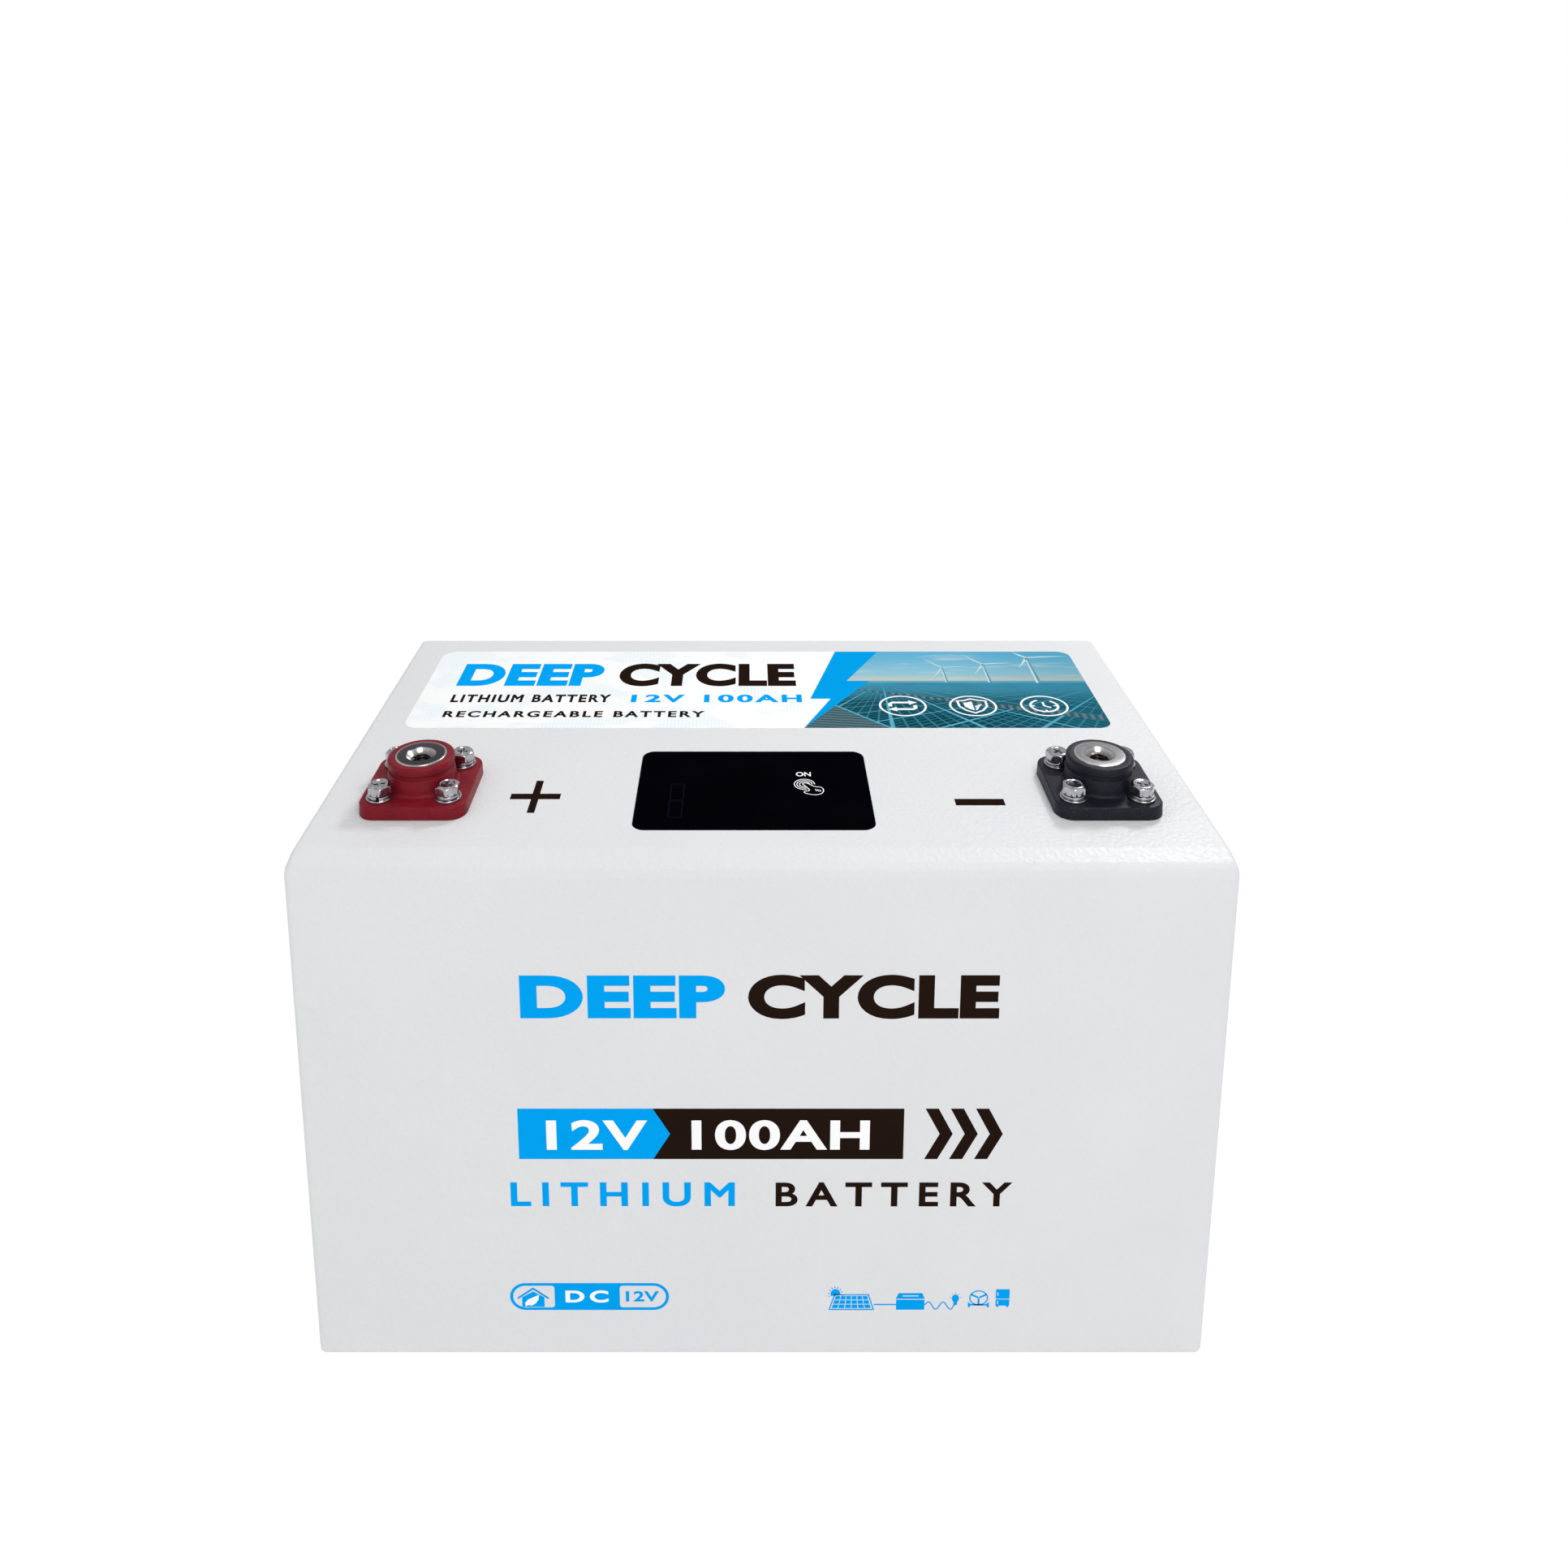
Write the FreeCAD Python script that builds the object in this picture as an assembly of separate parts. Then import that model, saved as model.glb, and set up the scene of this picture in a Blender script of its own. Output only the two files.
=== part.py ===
import FreeCAD, Part
import math
import os

from FreeCAD import Vector

# Deep cycle battery in a powder-coated steel case. Millimetres, +Z up.
# The origin is the middle of the base, +X runs along the case and -Y is the printed front.

# Case
case_length = 330.0
case_depth = 195.0
case_height = 205.0
sheet = 1.5                    # steel sheet of the case
crease_setback = 10.0          # from the front wall back to the crease where the top starts to fall
crease_slope = 12.0            # fall of the strip in front of the crease, degrees
front_bend = 4.5               # outside radius where that strip turns down into the front wall
back_bend = 3.0                # outside radius of the back top edge
foot_bend = 3.0                # outside radius of the bottom edges
corner_radius = 2.5            # outside radius of the upright corners and the end edges
return_width = 18.0            # turned-in flange around the open bottom
opening_radius = 6.0

# Base plate and its screws
base_plate_thickness = 2.0
base_plate_inset = 4.0
base_plate_radius = 4.0
base_screw_radius = 2.0        # M4
base_screw_head_radius = 4.0
base_screw_columns = 4
base_screw_end_inset = 15.0    # corner screws, from the case's end faces
base_recess_reach = 1.8        # cross recess, from the middle to the tip of an arm
base_recess_width = 0.8
base_recess_depth = 0.9
clinch_nut_radius = 4.0
clinch_nut_spigot = 2.7
clinch_nut_height = 3.0

# Terminals
terminal_end_inset = 37.0      # from the case's end to the terminal's axis
terminal_front_inset = 47.5    # from the printed front to the terminal's axis
terminal_base_thickness = 5.0
terminal_base_radius = 6.5
terminal_edge_round = 0.5
collar_wall = 2.8              # nylon around the insert
groove_depth = 0.8
groove_height = 1.3
groove_level = 11.3            # underside of the groove above the top of the case
collar_height = 15.8           # top of the collar above the top of the case
insert_radius = 9.6
insert_proud = 0.3
insert_rib_radius = 10.6
insert_rib_height = 2.0
insert_rib_level = 7.0
thread_wall_radius = 3.4       # M8, drawn at its tapping size
thread_depth = 14.0
thread_mouth_radius = 5.8
stud_radius = 4.0              # M8
stud_length = 16.0
insert_case_gap = 1.6          # between the insert and the hole in the steel
bush_gap = 0.1
gasket_width = 3.0
gasket_thickness = 1.0
backing_thickness = 6.5
backing_radius = 5.0

# Terminal screws
screw_collar_gap = 0.4         # between a screw's washer and the collar
screw_edge_inset = 7.4         # from a screw's axis to the edge of the base
screw_radius = 2.5             # M5
screw_clearance = 0.25
screw_flats = 8.0
screw_head_height = 3.6
screw_crown_drop = 0.4         # how far the crown's flat stays inside the head's flats
screw_crown_flare = 3.2
screw_dish_radius = 2.8
screw_dish_depth = 0.5
screw_recess_reach = 2.0
screw_recess_width = 1.0
screw_recess_depth = 2.2
screw_tip = 3.0                # how far the screw stands out below the backing plate
flat_washer_radius = 5.0
flat_washer_thickness = 1.0
spring_washer_radius = 4.4
spring_washer_thickness = 1.3
washer_clearance = 0.15
spring_washer_slit = 0.9

# Nuts and washers on the studs
stud_washer_radius = 8.0
stud_washer_thickness = 1.5
stud_nut_flats = 13.0
stud_nut_height = 6.5

# Vinyl label on the top
label_left_margin = 15.0
label_right_margin = 16.0
label_back_margin = 16.0
label_window_gap = 20.5        # between the display window and the label
label_radius = 6.0
label_thickness = 0.2

# Display
window_x = -2.6
window_front_inset = 21.5      # from the printed front to the window's near edge
window_length = 88.0
window_depth = 58.0
window_radius = 4.5
window_thickness = 2.0
window_proud = 0.3
window_gap = 0.3
window_ledge = 4.0             # width of the adhesive under the window's edge
tape_thickness = 0.5
frame_wall = 2.5
frame_height = 13.0
frame_flange = 9.0
frame_screw_radius = 1.5       # M3 studs welded under the top
frame_stud_length = 9.0
frame_stud_inset = 6.0         # from the window's front and back edges
frame_flange_thickness = 2.5
frame_nut_flats = 5.5
frame_nut_height = 2.4
lcd_length_share = 0.55        # of the window's length
lcd_depth = 40.0
lcd_thickness = 3.2
lcd_end_gap = 1.6              # between the screen and the frame's ledge
board_thickness = 1.6
board_clearance = 0.4
touch_share = 0.232            # touch spot, right of the window's middle, in window lengths
touch_y_shift = 6.0
touch_radius = 5.0
touch_wall = 0.5
touch_rim = 0.6

# Cells
cell_width = 160.0             # along Y
cell_thickness = 50.0          # along X
cell_height = 115.0
cell_radius = 3.0
cell_gap = 1.2
cell_count = 4
post_pitch = 88.0
post_radius = 8.0
post_height = 3.5
post_bolt_radius = 3.0         # M6
post_bolt_reach = 8.0
vent_length = 20.0
vent_width = 11.0
vent_height = 0.5
end_board_thickness = 3.0
strap_thickness = 0.6
strap_width = 13.0
strap_levels = (32.0, 88.0)    # middle of each band above the cells' underside

# Boards and foam around the cells
support_board_thickness = 3.0
support_board_overlap = 4.0
foam_gap = 1.0

# Links on the cells
busbar_width = 18.0
busbar_thickness = 2.5
busbar_arch_rise = 3.0
busbar_arch_length = 12.0
cell_bolt_flats = 10.0
cell_bolt_head = 4.0
cell_bolt_flange_radius = 6.5
cell_bolt_flange = 1.2
tag_thickness = 0.8
tag_radius = 5.0
tag_length = 11.0

# Cover board and battery management module
cover_board_length = 196.0
cover_board_depth = 150.0
cover_board_thickness = 1.6
cover_board_rise = 17.0        # underside above the top of the cells
cover_notch_length = 38.0
cover_notch_depth = 92.0
pillar_radius = 4.0
bms_length = 120.0
bms_depth = 76.0
bms_y = 33.0
heat_plate_thickness = 4.0
heat_pad_thickness = 1.0
mosfet_count = 12
mosfet_width = 6.6
mosfet_depth = 12.0
mosfet_thickness = 4.5
mosfet_pitch = 8.6
bms_post_size = 12.0
bms_post_height = 6.0
bms_post_x = 46.0
bms_post_pitch = 44.0
bms_spacer_radius = 3.0
bms_spacer_inset = 5.0
bms_screw_radius = 1.5
bms_screw_head_radius = 2.8
bms_screw_head_height = 1.8
socket_length = 30.0
socket_depth = 8.0
socket_height = 8.0

# Cables
cable_radius = 4.5
lug_plate_thickness = 2.0
lug_plate_radius = 8.0
lug_barrel_radius = 6.0
lug_barrel_start = 12.0
lug_barrel_length = 14.0
lug_floor = 2.0
sense_wire_radius = 0.8
wire_slot_length = 34.0
wire_slot_depth = 10.0
wire_slot_y = -20.0
ribbon_width = 12.0
ribbon_thickness = 1.0

# Levels that the sizes above set
shell_bottom = base_plate_thickness
flange_top = shell_bottom + sheet
case_ceiling = case_height - sheet
cell_floor = flange_top + support_board_thickness
cell_top = cell_floor + cell_height
post_top = cell_top + post_height
cover_board_bottom = cell_top + cover_board_rise
heat_plate_bottom = cover_board_bottom + cover_board_thickness
heat_pad_bottom = heat_plate_bottom + heat_plate_thickness
mosfet_bottom = heat_pad_bottom + heat_pad_thickness
bms_board_bottom = mosfet_bottom + mosfet_thickness
bms_board_top = bms_board_bottom + board_thickness
bms_post_top = bms_board_top + bms_post_height
backing_bottom = case_ceiling - backing_thickness
insert_top = case_height + collar_height + insert_proud
washer_seat = case_height + terminal_base_thickness
frame_top = case_ceiling
window_top = case_height + window_proud
window_bottom = window_top - window_thickness

# Places that the sizes above set
half_length = case_length / 2
half_depth = case_depth / 2
terminal_x = half_length - terminal_end_inset
terminal_y = -half_depth + terminal_front_inset
collar_radius = insert_radius + collar_wall
groove_radius = collar_radius - groove_depth
gasket_radius = insert_radius + insert_case_gap + gasket_width
screw_pitch = math.sqrt(2) * (collar_radius + screw_collar_gap + flat_washer_radius)
terminal_base_size = screw_pitch + 2 * screw_edge_inset
window_y = -half_depth + window_front_inset + window_depth / 2
lcd_length = lcd_length_share * window_length
lcd_x = window_x - window_length / 2 + window_ledge + lcd_end_gap + lcd_length / 2
touch_x = window_x + touch_share * window_length
label_length = case_length - label_left_margin - label_right_margin
label_x = (label_left_margin - label_right_margin) / 2
label_front = window_y + window_depth / 2 + label_window_gap
label_depth = half_depth - label_back_margin - label_front
label_y = label_front + label_depth / 2
inner_half_length = half_length - sheet
inner_half_depth = half_depth - sheet
cell_pitch = cell_thickness + cell_gap
cell_places = [(i - (cell_count - 1) / 2) * cell_pitch for i in range(cell_count)]
pack_half_length = cell_places[-1] + cell_thickness / 2 + end_board_thickness
pack_half_width = cell_width / 2
post_y = post_pitch / 2
terminal_places = {"positive": -terminal_x, "negative": terminal_x}


def rounded_plate(length, depth, low, high, radius, x=0.0, y=0.0):
    """A flat plate with rounded upright corners, centred at x, y."""
    plate = Part.makeBox(length, depth, high - low, Vector(x - length / 2, y - depth / 2, low))
    upright = [edge for edge in plate.Edges if abs(edge.tangentAt(edge.FirstParameter).z) > 0.99]
    return plate.makeFillet(radius, upright)


def block(x_low, x_high, y_low, y_high, z_low, z_high):
    return Part.makeBox(x_high - x_low, y_high - y_low, z_high - z_low, Vector(x_low, y_low, z_low))


def rod(x, y, low, high, radius):
    return Part.makeCylinder(radius, high - low, Vector(x, y, low))


def ring(x, y, low, high, outer, inner):
    return rod(x, y, low, high, outer).cut(rod(x, y, low, high, inner))


def hexagon(x, y, low, high, across_flats, turn=0.0):
    reach = across_flats / math.sqrt(3)
    corners = []
    for i in range(7):
        angle = math.radians(turn + 60 * i)
        corners.append(Vector(x + reach * math.cos(angle), y + reach * math.sin(angle), low))
    return Part.Face(Part.makePolygon(corners)).extrude(Vector(0, 0, high - low))


def cross(x, y, low, high, reach, width):
    """Two crossed bars, for cutting a screw's recess."""
    half = width / 2
    return fuse_all([block(x - reach, x + reach, y - half, y + half, low, high),
                     block(x - half, x + half, y - reach, y + reach, low, high)])


def turned(x, y, outline):
    """A solid turned about an upright axis from (radius, height) points."""
    points = [Vector(x + radius, y, height) for radius, height in outline]
    profile = Part.Face(Part.makePolygon(points + [points[0]]))
    return profile.revolve(Vector(x, y, 0), Vector(0, 0, 1), 360)


def cut_all(shape, tools):
    for tool in tools:
        shape = shape.cut(tool)
    return shape


def fuse_all(shapes):
    joined = shapes[0]
    for shape in shapes[1:]:
        joined = joined.fuse(shape)
    return joined.removeSplitter()


def group(shapes):
    return Part.makeCompound(shapes)


def round_cable(points, radius):
    """A round cable along straight runs that are joined by tangent arcs."""
    points = [Vector(*point) for point in points]
    edges = []
    start = points[0]
    for i in range(1, len(points) - 1):
        back = (points[i - 1] - points[i])
        ahead = (points[i + 1] - points[i])
        shorter = min(back.Length, ahead.Length)
        back.normalize()
        ahead.normalize()
        half_angle = back.getAngle(ahead) / 2
        tangent = 0.45 * shorter
        arc_radius = tangent * math.tan(half_angle)
        entry = points[i] + back * tangent
        leave = points[i] + ahead * tangent
        middle_line = (back + ahead).normalize()
        middle = points[i] + middle_line * (arc_radius / math.sin(half_angle) - arc_radius)
        edges.append(Part.LineSegment(start, entry).toShape())
        edges.append(Part.Arc(entry, middle, leave).toShape())
        start = leave
    edges.append(Part.LineSegment(start, points[-1]).toShape())
    path = Part.Wire(edges)
    first_run = (points[1] - points[0])
    section = Part.Wire(Part.makeCircle(radius, points[0], first_run))
    return path.makePipeShell([section], True, True)


# ---- case ----

def quarter_bend(y, z, y_way, z_way, radius):
    """A quarter circle that rounds the corner at y, z. The ways point into the case."""
    short = radius * (1 - math.sqrt(0.5))
    return Part.Arc(
        Vector(0, y, z + z_way * radius),
        Vector(0, y + y_way * short, z + z_way * short),
        Vector(0, y + y_way * radius, z),
    )


def case_outline(inset):
    """The case's side outline, drawn in from the outside by the inset, as a closed wire."""
    front = -half_depth + inset
    back = half_depth - inset
    top = case_height - inset
    bottom = shell_bottom + inset
    slope = math.radians(crease_slope)
    # The strip in front of the crease is parallel to itself at any inset.
    crease = -half_depth + crease_setback + inset * math.tan(slope / 2)
    nose_drop = (crease - front) * math.tan(slope)
    bend = front_bend - inset
    turn = math.pi / 2 - slope
    tangent = bend * math.tan(turn / 2)
    bend_centre = Vector(0, front + bend, top - nose_drop - tangent)
    strip_end = Vector(0, front + tangent * math.cos(slope), top - nose_drop + tangent * math.sin(slope))
    middle_angle = math.pi - turn / 2
    bend_middle = bend_centre + Vector(0, bend * math.cos(middle_angle), bend * math.sin(middle_angle))
    front_start = Vector(0, front, bend_centre.z)
    foot = foot_bend - inset
    rear = back_bend - inset

    edges = [
        Part.LineSegment(Vector(0, back - rear, top), Vector(0, crease, top)),
        Part.LineSegment(Vector(0, crease, top), strip_end),
        Part.Arc(strip_end, bend_middle, front_start),
        Part.LineSegment(front_start, Vector(0, front, bottom + foot)),
        quarter_bend(front, bottom, 1, 1, foot),
        Part.LineSegment(Vector(0, front + foot, bottom), Vector(0, back - foot, bottom)),
        quarter_bend(back, bottom, -1, 1, foot),
        Part.LineSegment(Vector(0, back, bottom + foot), Vector(0, back, top - rear)),
        quarter_bend(back, top, -1, -1, rear),
    ]
    return Part.Wire(Part.__sortEdges__([edge.toShape() for edge in edges]))


def case_block(inset, end_radius):
    """The case's outline run along its length, with rounded end edges."""
    half = half_length - inset
    wire = case_outline(inset)
    wire.translate(Vector(-half, 0, 0))
    solid = Part.Face(wire).extrude(Vector(2 * half, 0, 0))
    end_edges = []
    for edge in solid.Edges:
        if abs(edge.BoundBox.XMax - edge.BoundBox.XMin) < 0.01:
            end_edges.append(edge)
    return solid.makeFillet(end_radius, end_edges)


def screw_places(x):
    """The four screws of one terminal."""
    step = screw_pitch / 2
    return [(x + dx, terminal_y + dy) for dx in (-step, step) for dy in (-step, step)]


def base_screw_places():
    """Screws along the front and back flanges, and one in the middle of each end flange."""
    y = inner_half_depth - return_width / 2
    x_end = half_length - base_screw_end_inset
    step = 2 * x_end / (base_screw_columns - 1)
    places = []
    for i in range(base_screw_columns):
        places.append((-x_end + i * step, -y))
        places.append((-x_end + i * step, y))
    x_middle = inner_half_length - return_width / 2
    places.append((-x_middle, 0.0))
    places.append((x_middle, 0.0))
    return places


def frame_stud_places():
    x = window_length / 2 + frame_wall + frame_flange / 2
    y = window_depth / 2 - frame_stud_inset
    return [(window_x + dx, window_y + dy) for dx in (-x, x) for dy in (-y, y)]


def case_shell():
    shell = case_block(0.0, corner_radius).cut(case_block(sheet, corner_radius - sheet))
    opening = rounded_plate(
        2 * (inner_half_length - return_width),
        2 * (inner_half_depth - return_width),
        shell_bottom - 1,
        flange_top + 1,
        opening_radius,
    )
    window_hole = rounded_plate(
        window_length + 2 * window_gap,
        window_depth + 2 * window_gap,
        case_ceiling - 1,
        case_height + 1,
        window_radius + window_gap,
        window_x,
        window_y,
    )
    shell = cut_all(shell, [opening, window_hole])
    for x in terminal_places.values():
        shell = shell.cut(rod(x, terminal_y, case_ceiling - 1, case_height + 1, insert_radius + insert_case_gap))
        for sx, sy in screw_places(x):
            shell = shell.cut(rod(sx, sy, case_ceiling - 1, case_height + 1, screw_radius + screw_clearance))
    for x, y in base_screw_places():
        shell = shell.cut(rod(x, y, shell_bottom - 1, flange_top + 1, clinch_nut_spigot))
    studs = [rod(x, y, case_ceiling - frame_stud_length, case_ceiling, frame_screw_radius)
             for x, y in frame_stud_places()]
    return fuse_all([shell] + studs)


def base_plate():
    plate = rounded_plate(
        case_length - 2 * base_plate_inset,
        case_depth - 2 * base_plate_inset,
        0.0,
        base_plate_thickness,
        base_plate_radius,
    )
    for x, y in base_screw_places():
        plate = plate.cut(base_screw_head(x, y))
    return plate


def base_screw_head(x, y):
    return Part.makeCone(base_screw_head_radius, base_screw_radius, base_plate_thickness, Vector(x, y, 0))


def base_screws():
    tip = flange_top + clinch_nut_height
    screws = []
    for x, y in base_screw_places():
        shank = rod(x, y, base_plate_thickness, tip, base_screw_radius)
        recess = cross(x, y, -1, base_recess_depth, base_recess_reach, base_recess_width)
        screws.append(fuse_all([base_screw_head(x, y), shank]).cut(recess))
    return group(screws)


def base_clinch_nuts():
    nuts = []
    for x, y in base_screw_places():
        body = rod(x, y, flange_top, flange_top + clinch_nut_height, clinch_nut_radius)
        spigot = rod(x, y, shell_bottom, flange_top, clinch_nut_spigot)
        hole = rod(x, y, shell_bottom - 1, flange_top + clinch_nut_height + 1, base_screw_radius)
        nuts.append(fuse_all([body, spigot]).cut(hole))
    return group(nuts)


# ---- terminals ----

def insert_outside(x):
    rib_low = case_height + insert_rib_level
    rib_high = rib_low + insert_rib_height
    return turned(x, terminal_y, [
        (0, backing_bottom),
        (insert_radius, backing_bottom),
        (insert_radius, rib_low),
        (insert_rib_radius, rib_low),
        (insert_rib_radius, rib_high),
        (insert_radius, rib_high),
        (insert_radius, insert_top - 0.3),
        (insert_radius - 0.3, insert_top),
        (0, insert_top),
    ])


def terminal_insert(x):
    """Nickel-plated brass insert: a tapped top, a rib moulded into the base and a stud inside."""
    stud = rod(x, terminal_y, backing_bottom - stud_length, backing_bottom, stud_radius)
    mouth_depth = thread_mouth_radius - thread_wall_radius
    bore = rod(x, terminal_y, insert_top - thread_depth - mouth_depth, insert_top, thread_wall_radius)
    mouth = Part.makeCone(thread_wall_radius, thread_mouth_radius, mouth_depth,
                          Vector(x, terminal_y, insert_top - mouth_depth))
    return cut_all(fuse_all([insert_outside(x), stud]), [bore, mouth])


def terminal_base(x):
    """Moulded nylon base with a grooved collar round the insert."""
    base = rounded_plate(
        terminal_base_size,
        terminal_base_size,
        case_height,
        washer_seat,
        terminal_base_radius,
        x,
        terminal_y,
    )
    top_edges = []
    for edge in base.Edges:
        if edge.BoundBox.ZMin > washer_seat - 0.01:
            top_edges.append(edge)
    base = base.makeFillet(terminal_edge_round, top_edges)
    groove_low = case_height + groove_level
    groove_high = groove_low + groove_height
    collar_top = case_height + collar_height
    collar = turned(x, terminal_y, [
        (0, case_height + 1),
        (collar_radius, case_height + 1),
        (collar_radius, groove_low),
        (groove_radius, groove_low + 0.3),
        (groove_radius, groove_high - 0.3),
        (collar_radius, groove_high),
        (collar_radius, collar_top - 0.7),
        (collar_radius - 0.2, collar_top - 0.2),
        (collar_radius - 0.7, collar_top),
        (0, collar_top),
    ])
    base = fuse_all([base, collar]).cut(insert_outside(x))
    base = base.cut(rod(x, terminal_y, case_height - 1, case_height + gasket_thickness, gasket_radius))
    for sx, sy in screw_places(x):
        base = base.cut(rod(sx, sy, case_height - 1, washer_seat + 1, screw_radius + screw_clearance))
    return base


def terminal_gaskets():
    """Flat rubber seals in the undersides of the two bases."""
    return group([ring(x, terminal_y, case_height, case_height + gasket_thickness,
                       gasket_radius, insert_radius + insert_case_gap)
                  for x in terminal_places.values()])


def backing_plate(x):
    """Insulating plate under the case top, with a collar that keeps the insert off the steel."""
    plate = rounded_plate(
        terminal_base_size,
        terminal_base_size,
        backing_bottom,
        case_ceiling,
        backing_radius,
        x,
        terminal_y,
    )
    collar = rod(x, terminal_y, case_ceiling - 1, case_height + gasket_thickness,
                 insert_radius + insert_case_gap - bush_gap)
    plate = fuse_all([plate, collar])
    plate = plate.cut(rod(x, terminal_y, backing_bottom - 1, case_height + gasket_thickness + 1, insert_radius))
    for sx, sy in screw_places(x):
        plate = plate.cut(rod(sx, sy, backing_bottom - 1, case_ceiling + 1, screw_radius))
    return plate


def all_screw_places():
    return [place for x in terminal_places.values() for place in screw_places(x)]


def terminal_screws():
    seat = washer_seat + flat_washer_thickness + spring_washer_thickness
    top = seat + screw_head_height
    tip = backing_bottom - screw_tip
    screws = []
    for x, y in all_screw_places():
        head = hexagon(x, y, seat, top, screw_flats, turn=15.0)
        crown = Part.makeCone(screw_flats / 2 + screw_crown_flare, screw_flats / 2 - screw_crown_drop,
                              screw_head_height, Vector(x, y, seat))
        dish = Part.makeCone(screw_dish_radius - screw_dish_depth, screw_dish_radius, screw_dish_depth,
                             Vector(x, y, top - screw_dish_depth))
        recess = cross(x, y, top - screw_recess_depth, top + 1, screw_recess_reach, screw_recess_width)
        shank = rod(x, y, tip, seat, screw_radius)
        screws.append(fuse_all([cut_all(head.common(crown), [dish, recess]), shank]))
    return group(screws)


def terminal_flat_washers():
    return group([ring(x, y, washer_seat, washer_seat + flat_washer_thickness,
                       flat_washer_radius, screw_radius + washer_clearance)
                  for x, y in all_screw_places()])


def terminal_spring_washers():
    low = washer_seat + flat_washer_thickness
    high = low + spring_washer_thickness
    washers = []
    for x, y in all_screw_places():
        washer = ring(x, y, low, high, spring_washer_radius, screw_radius + washer_clearance)
        slit = block(x, x + spring_washer_radius + 1, y - spring_washer_slit / 2, y + spring_washer_slit / 2,
                     low - 1, high + 1)
        slit.rotate(Vector(x, y, low), Vector(0, 0, 1), 250)
        washers.append(washer.cut(slit))
    return group(washers)


def stud_washers():
    top = backing_bottom - lug_plate_thickness
    low = top - stud_washer_thickness
    hole = stud_radius + washer_clearance
    return group([ring(x, terminal_y, low, top, stud_washer_radius, hole)
                  for x in terminal_places.values()])


def stud_nuts():
    top = backing_bottom - lug_plate_thickness - stud_washer_thickness
    return group([hexagon(x, terminal_y, top - stud_nut_height, top, stud_nut_flats)
                  .cut(rod(x, terminal_y, top - stud_nut_height - 1, top + 1, stud_radius))
                  for x in terminal_places.values()])


# ---- label and display ----

def top_label():
    return rounded_plate(label_length, label_depth, case_height, case_height + label_thickness,
                         label_radius, label_x, label_y)


def display_window():
    window = rounded_plate(window_length, window_depth, window_bottom, window_top, window_radius,
                           window_x, window_y)
    rim = [edge for edge in window.Edges if edge.BoundBox.ZMin > window_top - 0.01]
    return window.makeFillet(0.25, rim)


def window_tape():
    """Adhesive border that holds the window on the frame's ledge."""
    high = window_bottom
    low = high - tape_thickness
    outer = rounded_plate(window_length, window_depth, low, high, window_radius, window_x, window_y)
    inner = rounded_plate(window_length - 2 * window_ledge, window_depth - 2 * window_ledge, low - 1, high + 1,
                          1.0, window_x, window_y)
    return outer.cut(inner)


def display_frame():
    """Moulded frame under the top: it carries the window, the screen and their board."""
    low = frame_top - frame_height
    tape_low = window_bottom - tape_thickness
    inside_length = window_length - 2 * window_ledge
    inside_depth = window_depth - 2 * window_ledge
    wall_length = window_length + 2 * frame_wall
    wall_depth = window_depth + 2 * frame_wall
    tube = rounded_plate(wall_length, wall_depth, low, frame_top, window_radius, window_x, window_y)
    ears = rounded_plate(wall_length + 2 * frame_flange, wall_depth, frame_top - frame_flange_thickness,
                         frame_top, 2.0, window_x, window_y)
    seat = rounded_plate(window_length, window_depth, tape_low, frame_top + 1, window_radius, window_x, window_y)
    inside = rounded_plate(inside_length, inside_depth, low - 1, frame_top, 1.0, window_x, window_y)
    board_room = rounded_plate(window_length, window_depth, low - 1, display_board_top(), 1.0,
                               window_x, window_y)
    frame = cut_all(fuse_all([tube, ears]), [seat, inside, board_room])
    for x, y in frame_stud_places():
        frame = frame.cut(rod(x, y, low, frame_top + 1, frame_screw_radius + screw_clearance))
    return frame


def display_board_top():
    return window_bottom - tape_thickness - lcd_thickness


def display_board():
    top = display_board_top()
    return rounded_plate(window_length - 2 * board_clearance, window_depth - 2 * board_clearance,
                         top - board_thickness, top, 1.0, window_x, window_y)


def lcd_module():
    low = display_board_top()
    return rounded_plate(lcd_length, lcd_depth, low, low + lcd_thickness, 0.8, lcd_x, window_y)


def touch_spring():
    """Coiled contact that reaches from the board up to the back of the window."""
    y = window_y + touch_y_shift
    low = display_board_top()
    bore = touch_radius - 3 * touch_wall
    foot = ring(touch_x, y, low, low + touch_rim, touch_radius, bore)
    barrel = ring(touch_x, y, low, window_bottom, bore + touch_wall, bore)
    pad = ring(touch_x, y, window_bottom - touch_rim, window_bottom, touch_radius, bore)
    return fuse_all([foot, barrel, pad])


def display_frame_nuts():
    top = frame_top - frame_flange_thickness
    return group([hexagon(x, y, top - frame_nut_height, top, frame_nut_flats)
                  .cut(rod(x, y, top - frame_nut_height - 1, top + 1, frame_screw_radius))
                  for x, y in frame_stud_places()])


def display_ribbon():
    """Flat cable from the display board down to the management board."""
    top = display_board_top() - board_thickness
    y_top = window_y + 12.0
    y_foot = bms_y - bms_depth / 2 + 12.0
    half = ribbon_thickness / 2
    side = [
        (y_top - half, top),
        (y_top - half, top - 8.0),
        (y_foot - half, bms_board_top + 9.0),
        (y_foot - half, bms_board_top),
        (y_foot + half, bms_board_top),
        (y_foot + half, bms_board_top + 9.0),
        (y_top + half, top - 8.0),
        (y_top + half, top),
    ]
    x_low = window_x - 24.0
    points = [Vector(x_low, y, z) for y, z in side]
    face = Part.Face(Part.makePolygon(points + [points[0]]))
    return face.extrude(Vector(ribbon_width, 0, 0))


# ---- cells and what holds them ----

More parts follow.
